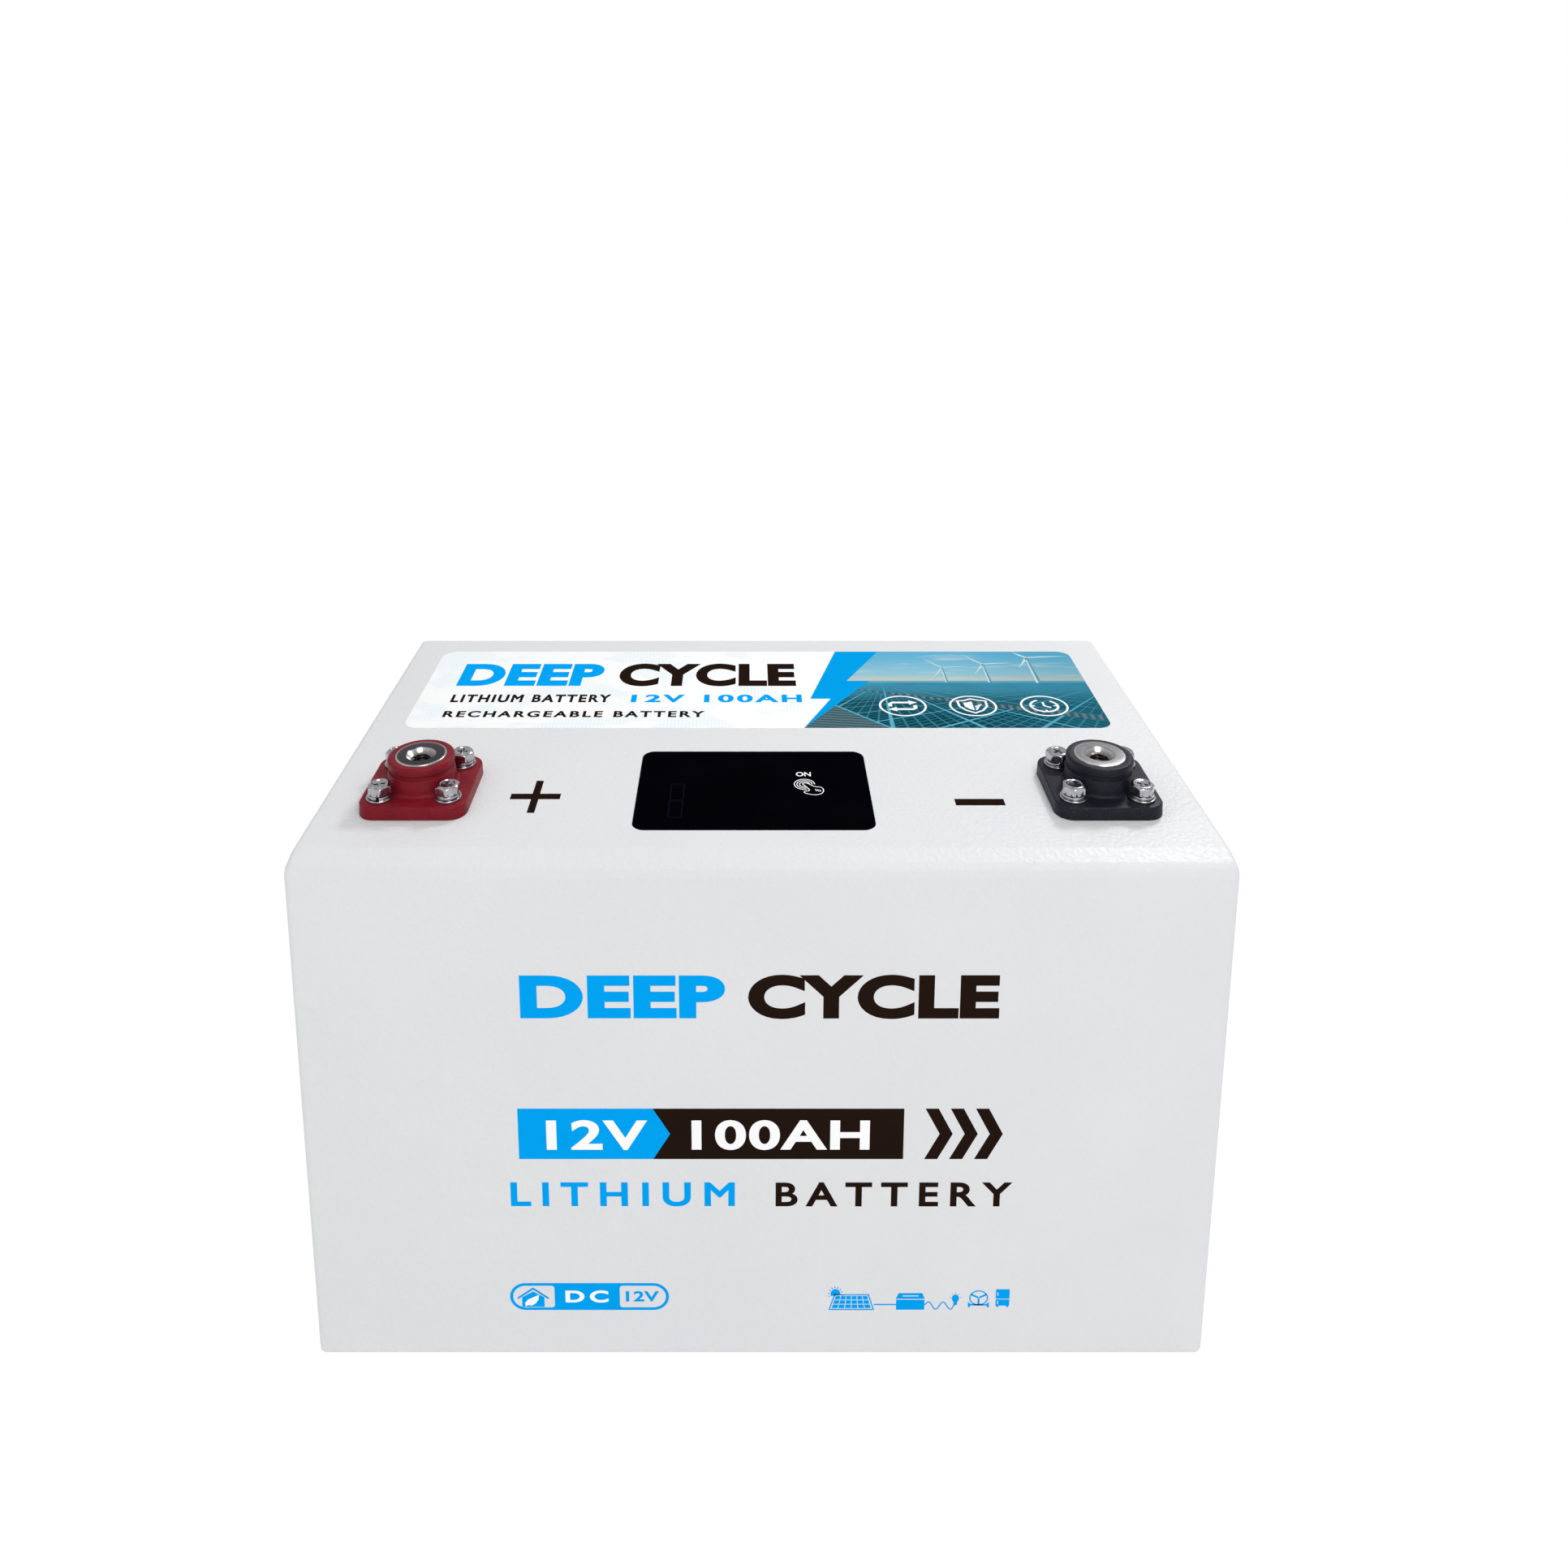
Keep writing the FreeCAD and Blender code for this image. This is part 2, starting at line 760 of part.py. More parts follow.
def cell(x):
    body = rounded_plate(cell_thickness, cell_width, cell_floor, cell_top, cell_radius, x, 0.0)
    low_edges = [edge for edge in body.Edges if edge.BoundBox.ZMax < cell_floor + 0.01]
    body = body.makeFillet(1.0, low_edges)
    for y in (-post_y, post_y):
        body = body.cut(rod(x, y, cell_top - post_bolt_reach, cell_top + 1, post_bolt_radius))
    return body


def cell_posts():
    return group([ring(x, y, cell_top, post_top, post_radius, post_bolt_radius)
                  for x in cell_places for y in (-post_y, post_y)])


def cell_vents():
    return group([rounded_plate(vent_width, vent_length, cell_top, cell_top + vent_height, 4.0, x, 0.0)
                  for x in cell_places])


def cell_spacers():
    spacers = []
    for left, right in zip(cell_places, cell_places[1:]):
        middle = (left + right) / 2
        spacers.append(block(middle - cell_gap / 2, middle + cell_gap / 2,
                             -pack_half_width + cell_radius, pack_half_width - cell_radius,
                             cell_floor, cell_top - 2))
    return group(spacers)


def end_board(side):
    near = pack_half_length - end_board_thickness
    middle = side * (near + pack_half_length) / 2
    return block(middle - end_board_thickness / 2, middle + end_board_thickness / 2,
                 -pack_half_width, pack_half_width, cell_floor, cell_top)


def pack_straps():
    straps = []
    for level in strap_levels:
        low = cell_floor + level - strap_width / 2
        outer = rounded_plate(2 * (pack_half_length + strap_thickness), 2 * (pack_half_width + strap_thickness),
                              low, low + strap_width, strap_thickness)
        inner = block(-pack_half_length, pack_half_length, -pack_half_width, pack_half_width,
                      low - 1, low + strap_width + 1)
        straps.append(outer.cut(inner))
    return group(straps)


def support_board():
    """Glass-fibre board that bridges the bottom opening and carries the cells."""
    length = 2 * (inner_half_length - return_width + support_board_overlap)
    depth = 2 * (inner_half_depth - return_width + support_board_overlap)
    return rounded_plate(length, depth, flange_top, cell_floor, opening_radius)


def base_foam_sheet():
    """Foam that fills the bottom opening between the base plate and the support board."""
    length = 2 * (inner_half_length - return_width - foam_gap)
    depth = 2 * (inner_half_depth - return_width - foam_gap)
    return rounded_plate(length, depth, base_plate_thickness, flange_top, opening_radius)


def side_foam(side):
    near = pack_half_width + strap_thickness + foam_gap / 2
    far = inner_half_depth - foam_gap
    low, high = sorted((side * near, side * far))
    return block(-pack_half_length, pack_half_length, low, high, cell_floor + foam_gap / 2, cell_top)


def end_foam(side):
    near = pack_half_length + strap_thickness + foam_gap / 2
    far = inner_half_length - foam_gap
    low, high = sorted((side * near, side * far))
    width = inner_half_depth - foam_gap
    return block(low, high, -width, width, cell_floor + foam_gap / 2, cell_top)


def busbars():
    """Three links that put the cells in series, each with an arch that lets the cells swell."""
    bars = []
    for i, left in enumerate(cell_places[:-1]):
        y = post_y if i % 2 == 0 else -post_y
        right = cell_places[i + 1]
        middle = (left + right) / 2
        reach = cell_pitch / 2 + busbar_width / 2
        half_arch = busbar_arch_length / 2
        low = post_top
        high = post_top + busbar_thickness
        outline = [
            (-reach, low), (-half_arch, low), (-half_arch + busbar_arch_rise, low + busbar_arch_rise),
            (half_arch - busbar_arch_rise, low + busbar_arch_rise), (half_arch, low), (reach, low),
            (reach, high), (half_arch + 1, high), (half_arch - busbar_arch_rise + 1, high + busbar_arch_rise),
            (-half_arch + busbar_arch_rise - 1, high + busbar_arch_rise), (-half_arch - 1, high), (-reach, high),
        ]
        points = [Vector(middle + px, y - busbar_width / 2, pz) for px, pz in outline]
        bar = Part.Face(Part.makePolygon(points + [points[0]])).extrude(Vector(0, busbar_width, 0))
        for x in (left, right):
            bar = bar.cut(rod(x, y, low - 1, high + 1, post_bolt_radius))
        bars.append(bar)
    return group(bars)


def post_is_free(number, side):
    """The two posts that no link joins, where the pack's cables start."""
    return side < 0 and number in (0, cell_count - 1)


def link_top(number, side):
    """Top of the link or cable lug that lies on a post."""
    return post_top + (lug_plate_thickness if post_is_free(number, side) else busbar_thickness)


def sense_taps():
    """Posts that carry a sense wire, in series order: cell number and side."""
    taps = [(0, -1)]
    taps += [(number, 1 if number % 2 == 0 else -1) for number in range(cell_count - 1)]
    taps.append((cell_count - 1, -1))
    return taps


def cell_bolts():
    bolts = []
    for number, x in enumerate(cell_places):
        for side in (-1, 1):
            y = side * post_y
            seat = link_top(number, side)
            if (number, side) in sense_taps():
                seat += tag_thickness
            flange = rod(x, y, seat, seat + cell_bolt_flange, cell_bolt_flange_radius)
            head = hexagon(x, y, seat, seat + cell_bolt_flange + cell_bolt_head, cell_bolt_flats)
            shank = rod(x, y, cell_top - post_bolt_reach, seat, post_bolt_radius)
            bolts.append(fuse_all([flange, head, shank]))
    return group(bolts)


def sense_tags():
    """Ring tags under five of the bolt heads, with their tails towards the front."""
    tags = []
    for number, side in sense_taps():
        x = cell_places[number]
        y = side * post_y
        low = link_top(number, side)
        disc = rod(x, y, low, low + tag_thickness, tag_radius)
        tail = block(x - 2.0, x + 2.0, y - tag_length, y, low, low + tag_thickness)
        hole = rod(x, y, low - 1, low + tag_thickness + 1, post_bolt_radius)
        tags.append(fuse_all([disc, tail]).cut(hole))
    return group(tags)


# ---- management module ----

def cover_board():
    board = rounded_plate(cover_board_length, cover_board_depth, cover_board_bottom, heat_plate_bottom, 4.0)
    low = cover_board_bottom - 1
    high = heat_plate_bottom + 1
    half = cover_board_length / 2
    for side in (-1, 1):
        x_low, x_high = sorted((side * (half + 1), side * (half - cover_notch_length)))
        board = board.cut(block(x_low, x_high, -cover_board_depth, -cover_board_depth / 2 + cover_notch_depth,
                                low, high))
    slot = rounded_plate(wire_slot_length, wire_slot_depth, low, high, 3.0, 0.0, wire_slot_y)
    return board.cut(slot)


def board_pillars():
    inner_x = cell_pitch / 2
    outer_x = cell_places[-1]
    y_end = cover_board_depth / 2 - 2 * pillar_radius
    places = [(side * inner_x, y) for side in (-1, 1) for y in (-y_end, 0.35 * post_y, y_end)]
    places += [(side * outer_x, y_end) for side in (-1, 1)]
    return group([rod(x, y, cell_top, cover_board_bottom, pillar_radius) for x, y in places])


def heat_plate():
    return rounded_plate(bms_length, bms_depth, heat_plate_bottom, heat_pad_bottom, 3.0, 0.0, bms_y)


def spacer_places():
    x = bms_length / 2 - bms_spacer_inset
    y = bms_depth / 2 - bms_spacer_inset
    return [(dx, bms_y + dy) for dx in (-x, x) for dy in (-y, y)]


def heat_pad():
    length = mosfet_count * mosfet_pitch
    return rounded_plate(length, mosfet_depth + 4, heat_pad_bottom, mosfet_bottom, 1.0, 0.0, bms_y)


def mosfets():
    pieces = []
    for i in range(mosfet_count):
        x = (i - (mosfet_count - 1) / 2) * mosfet_pitch
        pieces.append(block(x - mosfet_width / 2, x + mosfet_width / 2,
                            bms_y - mosfet_depth / 2, bms_y + mosfet_depth / 2, mosfet_bottom, bms_board_bottom))
    return group(pieces)


def bms_board():
    board = rounded_plate(bms_length, bms_depth, bms_board_bottom, bms_board_top, 3.0, 0.0, bms_y)
    for x, y in spacer_places():
        board = board.cut(rod(x, y, bms_board_bottom - 1, bms_board_top + 1, bms_screw_radius))
    return board


def bms_spacers():
    return group([ring(x, y, heat_pad_bottom, bms_board_bottom, bms_spacer_radius, bms_screw_radius)
                  for x, y in spacer_places()])


def bms_screws():
    return group([fuse_all([rod(x, y, heat_pad_bottom, bms_board_top, bms_screw_radius),
                            rod(x, y, bms_board_top, bms_board_top + bms_screw_head_height, bms_screw_head_radius)])
                  for x, y in spacer_places()])


def bms_post_places():
    return [(bms_post_x, bms_y - bms_post_pitch / 2), (bms_post_x, bms_y + bms_post_pitch / 2)]


def bms_posts():
    """Brass blocks on the board, with the screw that clamps each cable lug."""
    half = bms_post_size / 2
    posts = []
    for x, y in bms_post_places():
        body = block(x - half, x + half, y - half, y + half, bms_board_top, bms_post_top)
        posts.append(body.cut(rod(x, y, bms_board_top, bms_post_top + 1, post_bolt_radius)))
    return group(posts)


def bms_post_screws():
    screws = []
    seat = bms_post_top + lug_plate_thickness
    for x, y in bms_post_places():
        shank = rod(x, y, bms_board_top, seat, post_bolt_radius)
        head = rod(x, y, seat, seat + cell_bolt_head, cell_bolt_flats / 2)
        screws.append(fuse_all([shank, head]))
    return group(screws)


def sense_socket():
    y = bms_y - bms_depth / 2 + socket_depth / 2
    return block(-socket_length / 2, socket_length / 2, y - socket_depth / 2, y + socket_depth / 2,
                 bms_board_top, bms_board_top + socket_height)


# ---- cables ----

def lug(x, y, seat, hole_radius, turn, rise):
    """A crimp lug whose plate lies on the seat. Its barrel stands above (rise 1) or below (-1)."""
    plate = rod(0, 0, 0, lug_plate_thickness, lug_plate_radius)
    neck = block(0, lug_barrel_start + lug_floor, -lug_barrel_radius, lug_barrel_radius, 0, lug_plate_thickness)
    barrel_end = lug_barrel_start + lug_barrel_length
    barrel = Part.makeCylinder(lug_barrel_radius, lug_barrel_length,
                               Vector(lug_barrel_start, 0, lug_barrel_radius), Vector(1, 0, 0))
    bore = Part.makeCylinder(cable_radius, barrel_end - lug_barrel_start - lug_floor + 1,
                             Vector(lug_barrel_start + lug_floor, 0, lug_barrel_radius), Vector(1, 0, 0))
    hole = rod(0, 0, -1, lug_plate_thickness + 1, hole_radius)
    shape = cut_all(fuse_all([plate, neck, barrel]), [bore, hole])
    if rise < 0:
        shape.rotate(Vector(0, 0, 0), Vector(1, 0, 0), 180)
    shape.rotate(Vector(0, 0, 0), Vector(0, 0, 1), turn)
    shape.translate(Vector(x, y, seat))
    return shape


def cable_lugs():
    first = cell_places[0]
    last = cell_places[-1]
    (minus_x, minus_y), (load_x, load_y) = bms_post_places()
    lugs = [lug(first, -post_y, post_top, post_bolt_radius, 90, 1)]
    lugs.append(lug(last, -post_y, post_top, post_bolt_radius, 90, 1))
    lugs.append(lug(minus_x, minus_y, bms_post_top, post_bolt_radius, 0, 1))
    lugs.append(lug(load_x, load_y, bms_post_top, post_bolt_radius, 0, 1))
    for x in terminal_places.values():
        lugs.append(lug(x, terminal_y, backing_bottom, stud_radius, 90, -1))
    return group(lugs)


def cable_start():
    return lug_barrel_start + lug_floor


def positive_cable():
    """From the first cell's free post up to the positive terminal."""
    start = cell_places[0]
    low = post_top + lug_barrel_radius
    high = backing_bottom - lug_barrel_radius
    end = terminal_places["positive"]
    return round_cable([
        (start, -post_y + cable_start(), low),
        (start, 4.0, low),
        (start - 20.0, 16.0, low + 16.0),
        (end, 12.0, high - 18.0),
        (end, -4.0, high),
        (end, terminal_y + cable_start(), high),
    ], cable_radius)


def battery_negative_cable():
    """From the last cell's free post up to the management board."""
    start = cell_places[-1]
    low = post_top + lug_barrel_radius
    minus_x, minus_y = bms_post_places()[0]
    high = bms_post_top + lug_barrel_radius
    return round_cable([
        (start, -post_y + cable_start(), low),
        (start, -6.0, low),
        (start + 12.0, minus_y - 6.0, low + 16.0),
        (start + 12.0, minus_y, high),
        (minus_x + cable_start(), minus_y, high),
    ], cable_radius)


def load_negative_cable():
    """From the management board to the negative terminal."""
    load_x, load_y = bms_post_places()[1]
    low = bms_post_top + lug_barrel_radius
    high = backing_bottom - lug_barrel_radius
    end = terminal_places["negative"]
    return round_cable([
        (load_x + cable_start(), load_y, low),
        (load_x + 52.0, load_y, low),
        (end, load_y - 22.0, low + 6.0),
        (end, -2.0, high),
        (end, terminal_y + cable_start(), high),
    ], cable_radius)


def sense_wires():
    """Five thin wires from the tags, through the slot in the cover board, to the socket."""
    wires = []
    spread = socket_length / 6
    over = cover_board_bottom - 3.0
    plug_level = bms_board_top + socket_height / 2
    plug_y = bms_y - bms_depth / 2
    for i, (number, side) in enumerate(sense_taps()):
        x = cell_places[number]
        root_y = side * post_y - tag_length + 2 * sense_wire_radius
        slot_x = (i - cell_count / 2) * spread
        wires.append(round_cable([
            (x, root_y, link_top(number, side) + tag_thickness),
            (x, root_y, over),
            (slot_x, wire_slot_y, over),
            (slot_x, wire_slot_y, plug_level),
            (slot_x, plug_y, plug_level),
        ], sense_wire_radius))
    return group(wires)


def parts():
    shapes = {
        "case_shell": case_shell(),
        "base_plate": base_plate(),
        "base_screws": base_screws(),
        "base_clinch_nuts": base_clinch_nuts(),
        "terminal_screws": terminal_screws(),
        "terminal_flat_washers": terminal_flat_washers(),
        "terminal_spring_washers": terminal_spring_washers(),
        "terminal_gaskets": terminal_gaskets(),
        "stud_washers": stud_washers(),
        "stud_nuts": stud_nuts(),
        "top_label": top_label(),
        "display_window": display_window(),
        "window_tape": window_tape(),
        "display_frame": display_frame(),
        "display_board": display_board(),
        "lcd_module": lcd_module(),
        "touch_spring": touch_spring(),
        "display_frame_nuts": display_frame_nuts(),
        "display_ribbon": display_ribbon(),
        "cell_posts": cell_posts(),
        "cell_vents": cell_vents(),
        "cell_spacers": cell_spacers(),
        "end_board_left": end_board(-1),
        "end_board_right": end_board(1),
        "pack_straps": pack_straps(),
        "support_board": support_board(),
        "base_foam_sheet": base_foam_sheet(),
        "front_foam": side_foam(-1),
        "back_foam": side_foam(1),
        "left_foam_block": end_foam(-1),
        "right_foam_block": end_foam(1),
        "busbars": busbars(),
        "cell_bolts": cell_bolts(),
        "sense_tags": sense_tags(),
        "sense_wires": sense_wires(),
        "cover_board": cover_board(),
        "board_pillars": board_pillars(),
        "bms_heat_plate": heat_plate(),
        "bms_heat_pad": heat_pad(),
        "bms_mosfets": mosfets(),
        "bms_board": bms_board(),
        "bms_spacers": bms_spacers(),
        "bms_screws": bms_screws(),
        "bms_posts": bms_posts(),
        "bms_post_screws": bms_post_screws(),
        "sense_socket": sense_socket(),
        "cable_lugs": cable_lugs(),
        "positive_cable": positive_cable(),
        "battery_negative_cable": battery_negative_cable(),
        "load_negative_cable": load_negative_cable(),
    }
    for name, x in terminal_places.items():
        shapes[name + "_terminal_base"] = terminal_base(x)
        shapes[name + "_terminal_insert"] = terminal_insert(x)
        shapes[name + "_backing_plate"] = backing_plate(x)
    for number, x in enumerate(cell_places, start=1):
        shapes["cell_" + str(number)] = cell(x)
    return shapes


os.makedirs("parts", exist_ok=True)
for node, shape in parts().items():
    shape.exportStep("parts/" + node + ".step")
    print(node, len(shape.Solids), "solids", shape.isValid(), round(shape.Volume), "mm3")
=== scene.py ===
import math

import bmesh
import bpy
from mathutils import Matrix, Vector, noise
from mathutils.geometry import tessellate_polygon


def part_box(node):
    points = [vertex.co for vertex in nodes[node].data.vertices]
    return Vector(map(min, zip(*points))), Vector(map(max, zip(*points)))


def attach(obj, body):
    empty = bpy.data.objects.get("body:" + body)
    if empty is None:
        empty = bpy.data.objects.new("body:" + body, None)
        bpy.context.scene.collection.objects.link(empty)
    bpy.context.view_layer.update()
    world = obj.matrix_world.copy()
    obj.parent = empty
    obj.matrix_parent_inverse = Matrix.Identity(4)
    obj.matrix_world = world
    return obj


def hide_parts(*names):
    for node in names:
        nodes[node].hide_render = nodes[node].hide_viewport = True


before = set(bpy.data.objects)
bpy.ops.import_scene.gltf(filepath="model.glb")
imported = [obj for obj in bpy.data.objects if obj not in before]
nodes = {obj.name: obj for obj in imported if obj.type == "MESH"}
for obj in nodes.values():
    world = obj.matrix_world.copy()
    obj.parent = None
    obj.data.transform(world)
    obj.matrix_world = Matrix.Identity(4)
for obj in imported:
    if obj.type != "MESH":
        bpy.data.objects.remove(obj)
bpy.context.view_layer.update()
scene = bpy.context.scene
print("frame loaded:", len(nodes), "nodes")

mm = 0.001
caseLow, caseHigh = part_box("case_shell")
labelLow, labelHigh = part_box("top_label")
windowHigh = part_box("display_window")[1]


# short names for the nodes that the sky, the floor and the finishes are made of

class Wire:
    # the output of a node; sums and products of wires make math nodes
    def __init__(self, graph, socket):
        self.graph, self.socket = graph, socket

    def calc(self, action, *others):
        return self.graph.calc(action, self, *others)

    def __add__(self, other):
        return self.calc("ADD", other)

    def __sub__(self, other):
        return self.calc("SUBTRACT", other)

    def __mul__(self, other):
        return self.calc("MULTIPLY", other)

    def __abs__(self):
        return self.calc("ABSOLUTE")

    def spread(self, fromLow, fromHigh, low=0.0, high=1.0, smooth=False):
        return self.graph.node("MapRange", {"Value": self, "From Min": fromLow, "From Max": fromHigh,
                                            "To Min": low, "To Max": high},
                               interpolation_type="SMOOTHSTEP" if smooth else "LINEAR")


class Graph:
    def __init__(self, tree):
        self.tree = tree

    def put(self, socket, value):
        if isinstance(value, Wire):
            self.tree.links.new(value.socket, socket)
        else:
            socket.default_value = (*value, 1.0) if socket.type == "RGBA" else value

    def node(self, kind, inputs, output=0, **settings):
        made = self.tree.nodes.new("ShaderNode" + kind)
        for key, value in settings.items():
            setattr(made, key, value)
        for key, value in inputs.items():
            self.put(made.inputs[key], value)
        return Wire(self, made.outputs[output]) if made.outputs else None

    def calc(self, action, *values):
        return self.node("Math", dict(enumerate(values)), operation=action)

    def tint(self, factor, first, second):
        return self.node("Mix", {0: factor, 6: first, 7: second}, 2, data_type="RGBA")


class Finish(Graph):
    # a material, its textures placed in metres on the object
    def __init__(self, name):
        self.material = bpy.data.materials.new(name)
        self.material.use_nodes = True
        super().__init__(self.material.node_tree)
        self.shader = self.tree.nodes["Principled BSDF"]
        self.place = self.node("TexCoord", {}, "Object")

    def axes(self):
        return [self.node("SeparateXYZ", {0: self.place}, axis) for axis in "XYZ"]

    def at(self, stretch):
        return self.node("Mapping", {"Vector": self.place, "Scale": stretch}) if stretch else self.place

    def noise(self, scale, detail=3.0, rough=0.5, stretch=None):
        return self.node("TexNoise", {"Vector": self.at(stretch), "Scale": scale, "Detail": detail,
                                      "Roughness": rough}, "Fac")

    def cells(self, scale, feature="F1", scatter=1.0, stretch=None):
        return self.node("TexVoronoi", {"Vector": self.at(stretch), "Scale": scale, "Randomness": scatter},
                         "Distance", feature=feature)

    def done(self, colour, rough, layers, look):
        # each layer is a height, a strength and a depth in metres
        put = {"Base Color": colour, "Roughness": rough, "Metallic": look.get("metal", 0.0),
               "Specular IOR Level": look.get("specular", 0.5), "Coat Weight": look.get("coat", 0.0),
               "Coat Roughness": look.get("coatRough", 0.1)}
        for height, strength, depth in layers:
            below = {"Normal": put["Normal"]} if "Normal" in put else {}
            put["Normal"] = self.node("Bump", {"Height": height, "Strength": strength, "Distance": depth,
                                               **below})
        for key, value in put.items():
            self.put(self.shader.inputs[key], value)
        return self.material


# camera, light and floor

cameraSetup = {
    "lens": 29.165,         # millimetres, on a 36 mm sensor
    "place": (-0.00550, -0.49257, 0.45309),
    "pitch": 11.162,        # degrees below level
    "shift": (0.02431, -0.25945),
}

sky = {
    "levels": (0.50, 0.51, 0.54),   # light from the horizon, from low and from straight above
    "lowAt": 0.30,
    "backdrop": 1.0,                # what the camera sees behind the floor
}

lamps = {
    "backBox": {"place": (0.62, 0.78, 1.15), "aim": (0.0, 0.0, 0.20), "size": 0.24, "watts": 6.4},
    "highFrontBox": {"place": (0.25, -0.75, 1.35), "aim": (0.0, 0.0, 0.18), "size": 0.6, "watts": 7.0},
    "leftBox": {"place": (-1.25, -0.75, 0.95), "aim": (0.0, 0.0, 0.12), "size": 0.7, "watts": 1.6},
    "frontBox": {"place": (0.20, -1.20, 0.10), "aim": (0.0, 0.0, 0.02), "size": 0.8, "watts": 1.6},
}

floorSetup = {
    "colour": (0.93, 0.93, 0.93), "radius": 9.0, "rough": 0.7,
    "glow": 1.06,           # strength of the floor's own light
    "seen": 0.9,            # share of it that the camera sees
    "bounce": 0.60,         # share of it that reaches the battery
}


def makeCamera():
    data = bpy.data.cameras.new("camera")
    data.sensor_width = 36.0
    data.lens = cameraSetup["lens"]
    data.shift_x, data.shift_y = cameraSetup["shift"]
    data.clip_start, data.clip_end = 0.01, 50.0
    camera = bpy.data.objects.new("camera", data)
    camera.location = cameraSetup["place"]
    camera.rotation_euler = (math.radians(90.0 - cameraSetup["pitch"]), 0.0, 0.0)
    scene.collection.objects.link(camera)
    scene.camera = camera


def makeSky():
    world = bpy.data.worlds.new("studioSky")
    world.use_nodes = True
    scene.world = world
    world.node_tree.nodes.clear()
    graph = Graph(world.node_tree)
    height = graph.node("SeparateXYZ", {0: graph.node("TexCoord", {}, "Generated")}, "Z")
    ramp = graph.node("ValToRGB", {"Fac": height})
    elements = ramp.socket.node.color_ramp.elements
    elements.new(sky["lowAt"])
    for element, level in zip(elements, sky["levels"]):
        element.color = (level, level, level * 1.01, 1.0)
    light = graph.node("Background", {"Color": ramp})
    plain = graph.node("Background", {"Color": (1.0, 1.0, 1.0), "Strength": sky["backdrop"]})
    seen = graph.node("LightPath", {}, "Is Camera Ray")
    graph.node("OutputWorld", {"Surface": graph.node("MixShader", {0: seen, 1: light, 2: plain})})


def makeLamps():
    for name, lamp in lamps.items():
        data = bpy.data.lights.new(name, "AREA")
        data.shape = "SQUARE"
        data.size = lamp["size"]
        data.energy = lamp["watts"]
        piece = bpy.data.objects.new(name, data)
        piece.location = lamp["place"]
        direction = Vector(lamp["aim"]) - Vector(lamp["place"])
        piece.rotation_euler = direction.to_track_quat("-Z", "Y").to_euler()
        scene.collection.objects.link(piece)


def makeFloor():
    shape = bmesh.new()
    bmesh.ops.create_circle(shape, cap_ends=True, segments=96, radius=floorSetup["radius"])
    mesh = bpy.data.meshes.new("floor")
    shape.to_mesh(mesh)
    shape.free()
    piece = bpy.data.objects.new("floor", mesh)
    scene.collection.objects.link(piece)
    paint = Finish("floorPaint")
    colour = floorSetup["colour"]
    drift = paint.tint(paint.noise(3.0, 2.0), [value * 0.995 for value in colour], colour)
    for key, value in (("Base Color", drift), ("Roughness", floorSetup["rough"]), ("Specular IOR Level", 0.1)):
        paint.put(paint.shader.inputs[key], value)
    glow = paint.node("Emission", {"Strength": floorSetup["glow"]})
    seen = paint.node("LightPath", {}, "Is Camera Ray")
    share = seen.spread(0.0, 1.0, floorSetup["bounce"], floorSetup["seen"])
    mix = paint.node("MixShader", {0: share, 1: Wire(paint, paint.shader.outputs[0]), 2: glow})
    out = next(node for node in paint.tree.nodes if node.type == "OUTPUT_MATERIAL")
    paint.put(out.inputs["Surface"], mix)
    mesh.materials.append(paint.material)


scene.view_settings.view_transform = "Standard"
makeCamera()
makeSky()
makeLamps()
print("camera and light placed")


# the white case: satin powder coat with a fine orange peel

powderCoat = {
    "colours": ((0.735, 0.741, 0.756), (0.758, 0.766, 0.775)),
    "rough": (0.36, 0.50),
    "peel": 620.0,          # dimples per metre
    "peelDepth": 0.00022,
    "peelStrength": 0.85,
    "grain": 2600.0,
    "grainStrength": 0.20,
    "wave": 9.0,            # slow ripple left by folding the sheet
    "waveDepth": 0.0012,
    "specular": 0.38,
}


def makePowderCoat():
    look = powderCoat
    f = Finish("powderCoat")
    peel = f.noise(look["peel"], 1.5, 0.45)
    dimple = f.cells(look["peel"] * 0.8, "SMOOTH_F1")
    return f.done(f.tint(f.noise(14.0, 4.0, 0.55).spread(0.3, 0.7), *look["colours"]),
                  peel.spread(0.3, 0.7, *look["rough"]),
                  [(f.noise(look["wave"], 1.0, 0.3), 0.35, look["waveDepth"]),
                   (peel + dimple * 0.5, look["peelStrength"], look["peelDepth"]),
                   (f.noise(look["grain"], 2.0, 0.6), look["grainStrength"], 0.00003)], look)


# the turned nickel inserts: rings left by the tool on the face, fine grain over them, and painted shade down the
# bore

nickel = {
    "metal": 1.0,
    "colour": (0.66, 0.65, 0.63),
    "dark": (0.34, 0.33, 0.32),
    "rough": (0.16, 0.34),
    "ring": 9000.0,
    "positiveFaceDark": (0.070, 0.062, 0.074),      # face of the positive insert
    "worn": (0.30, 0.30, 0.33),         # face of the negative insert
    # painted shade down the bore: a brownish near-black colour for the thread below the mouth
    "paintedBoreShade": (0.040, 0.032, 0.028),      # down the bore
    "paintedBoreShadeFrom": (0.8 * mm, 2.8 * mm),
    "faceEdge": 9.0 * mm,
    "mouth": 5.6 * mm,
    "soft": 0.3 * mm,
}


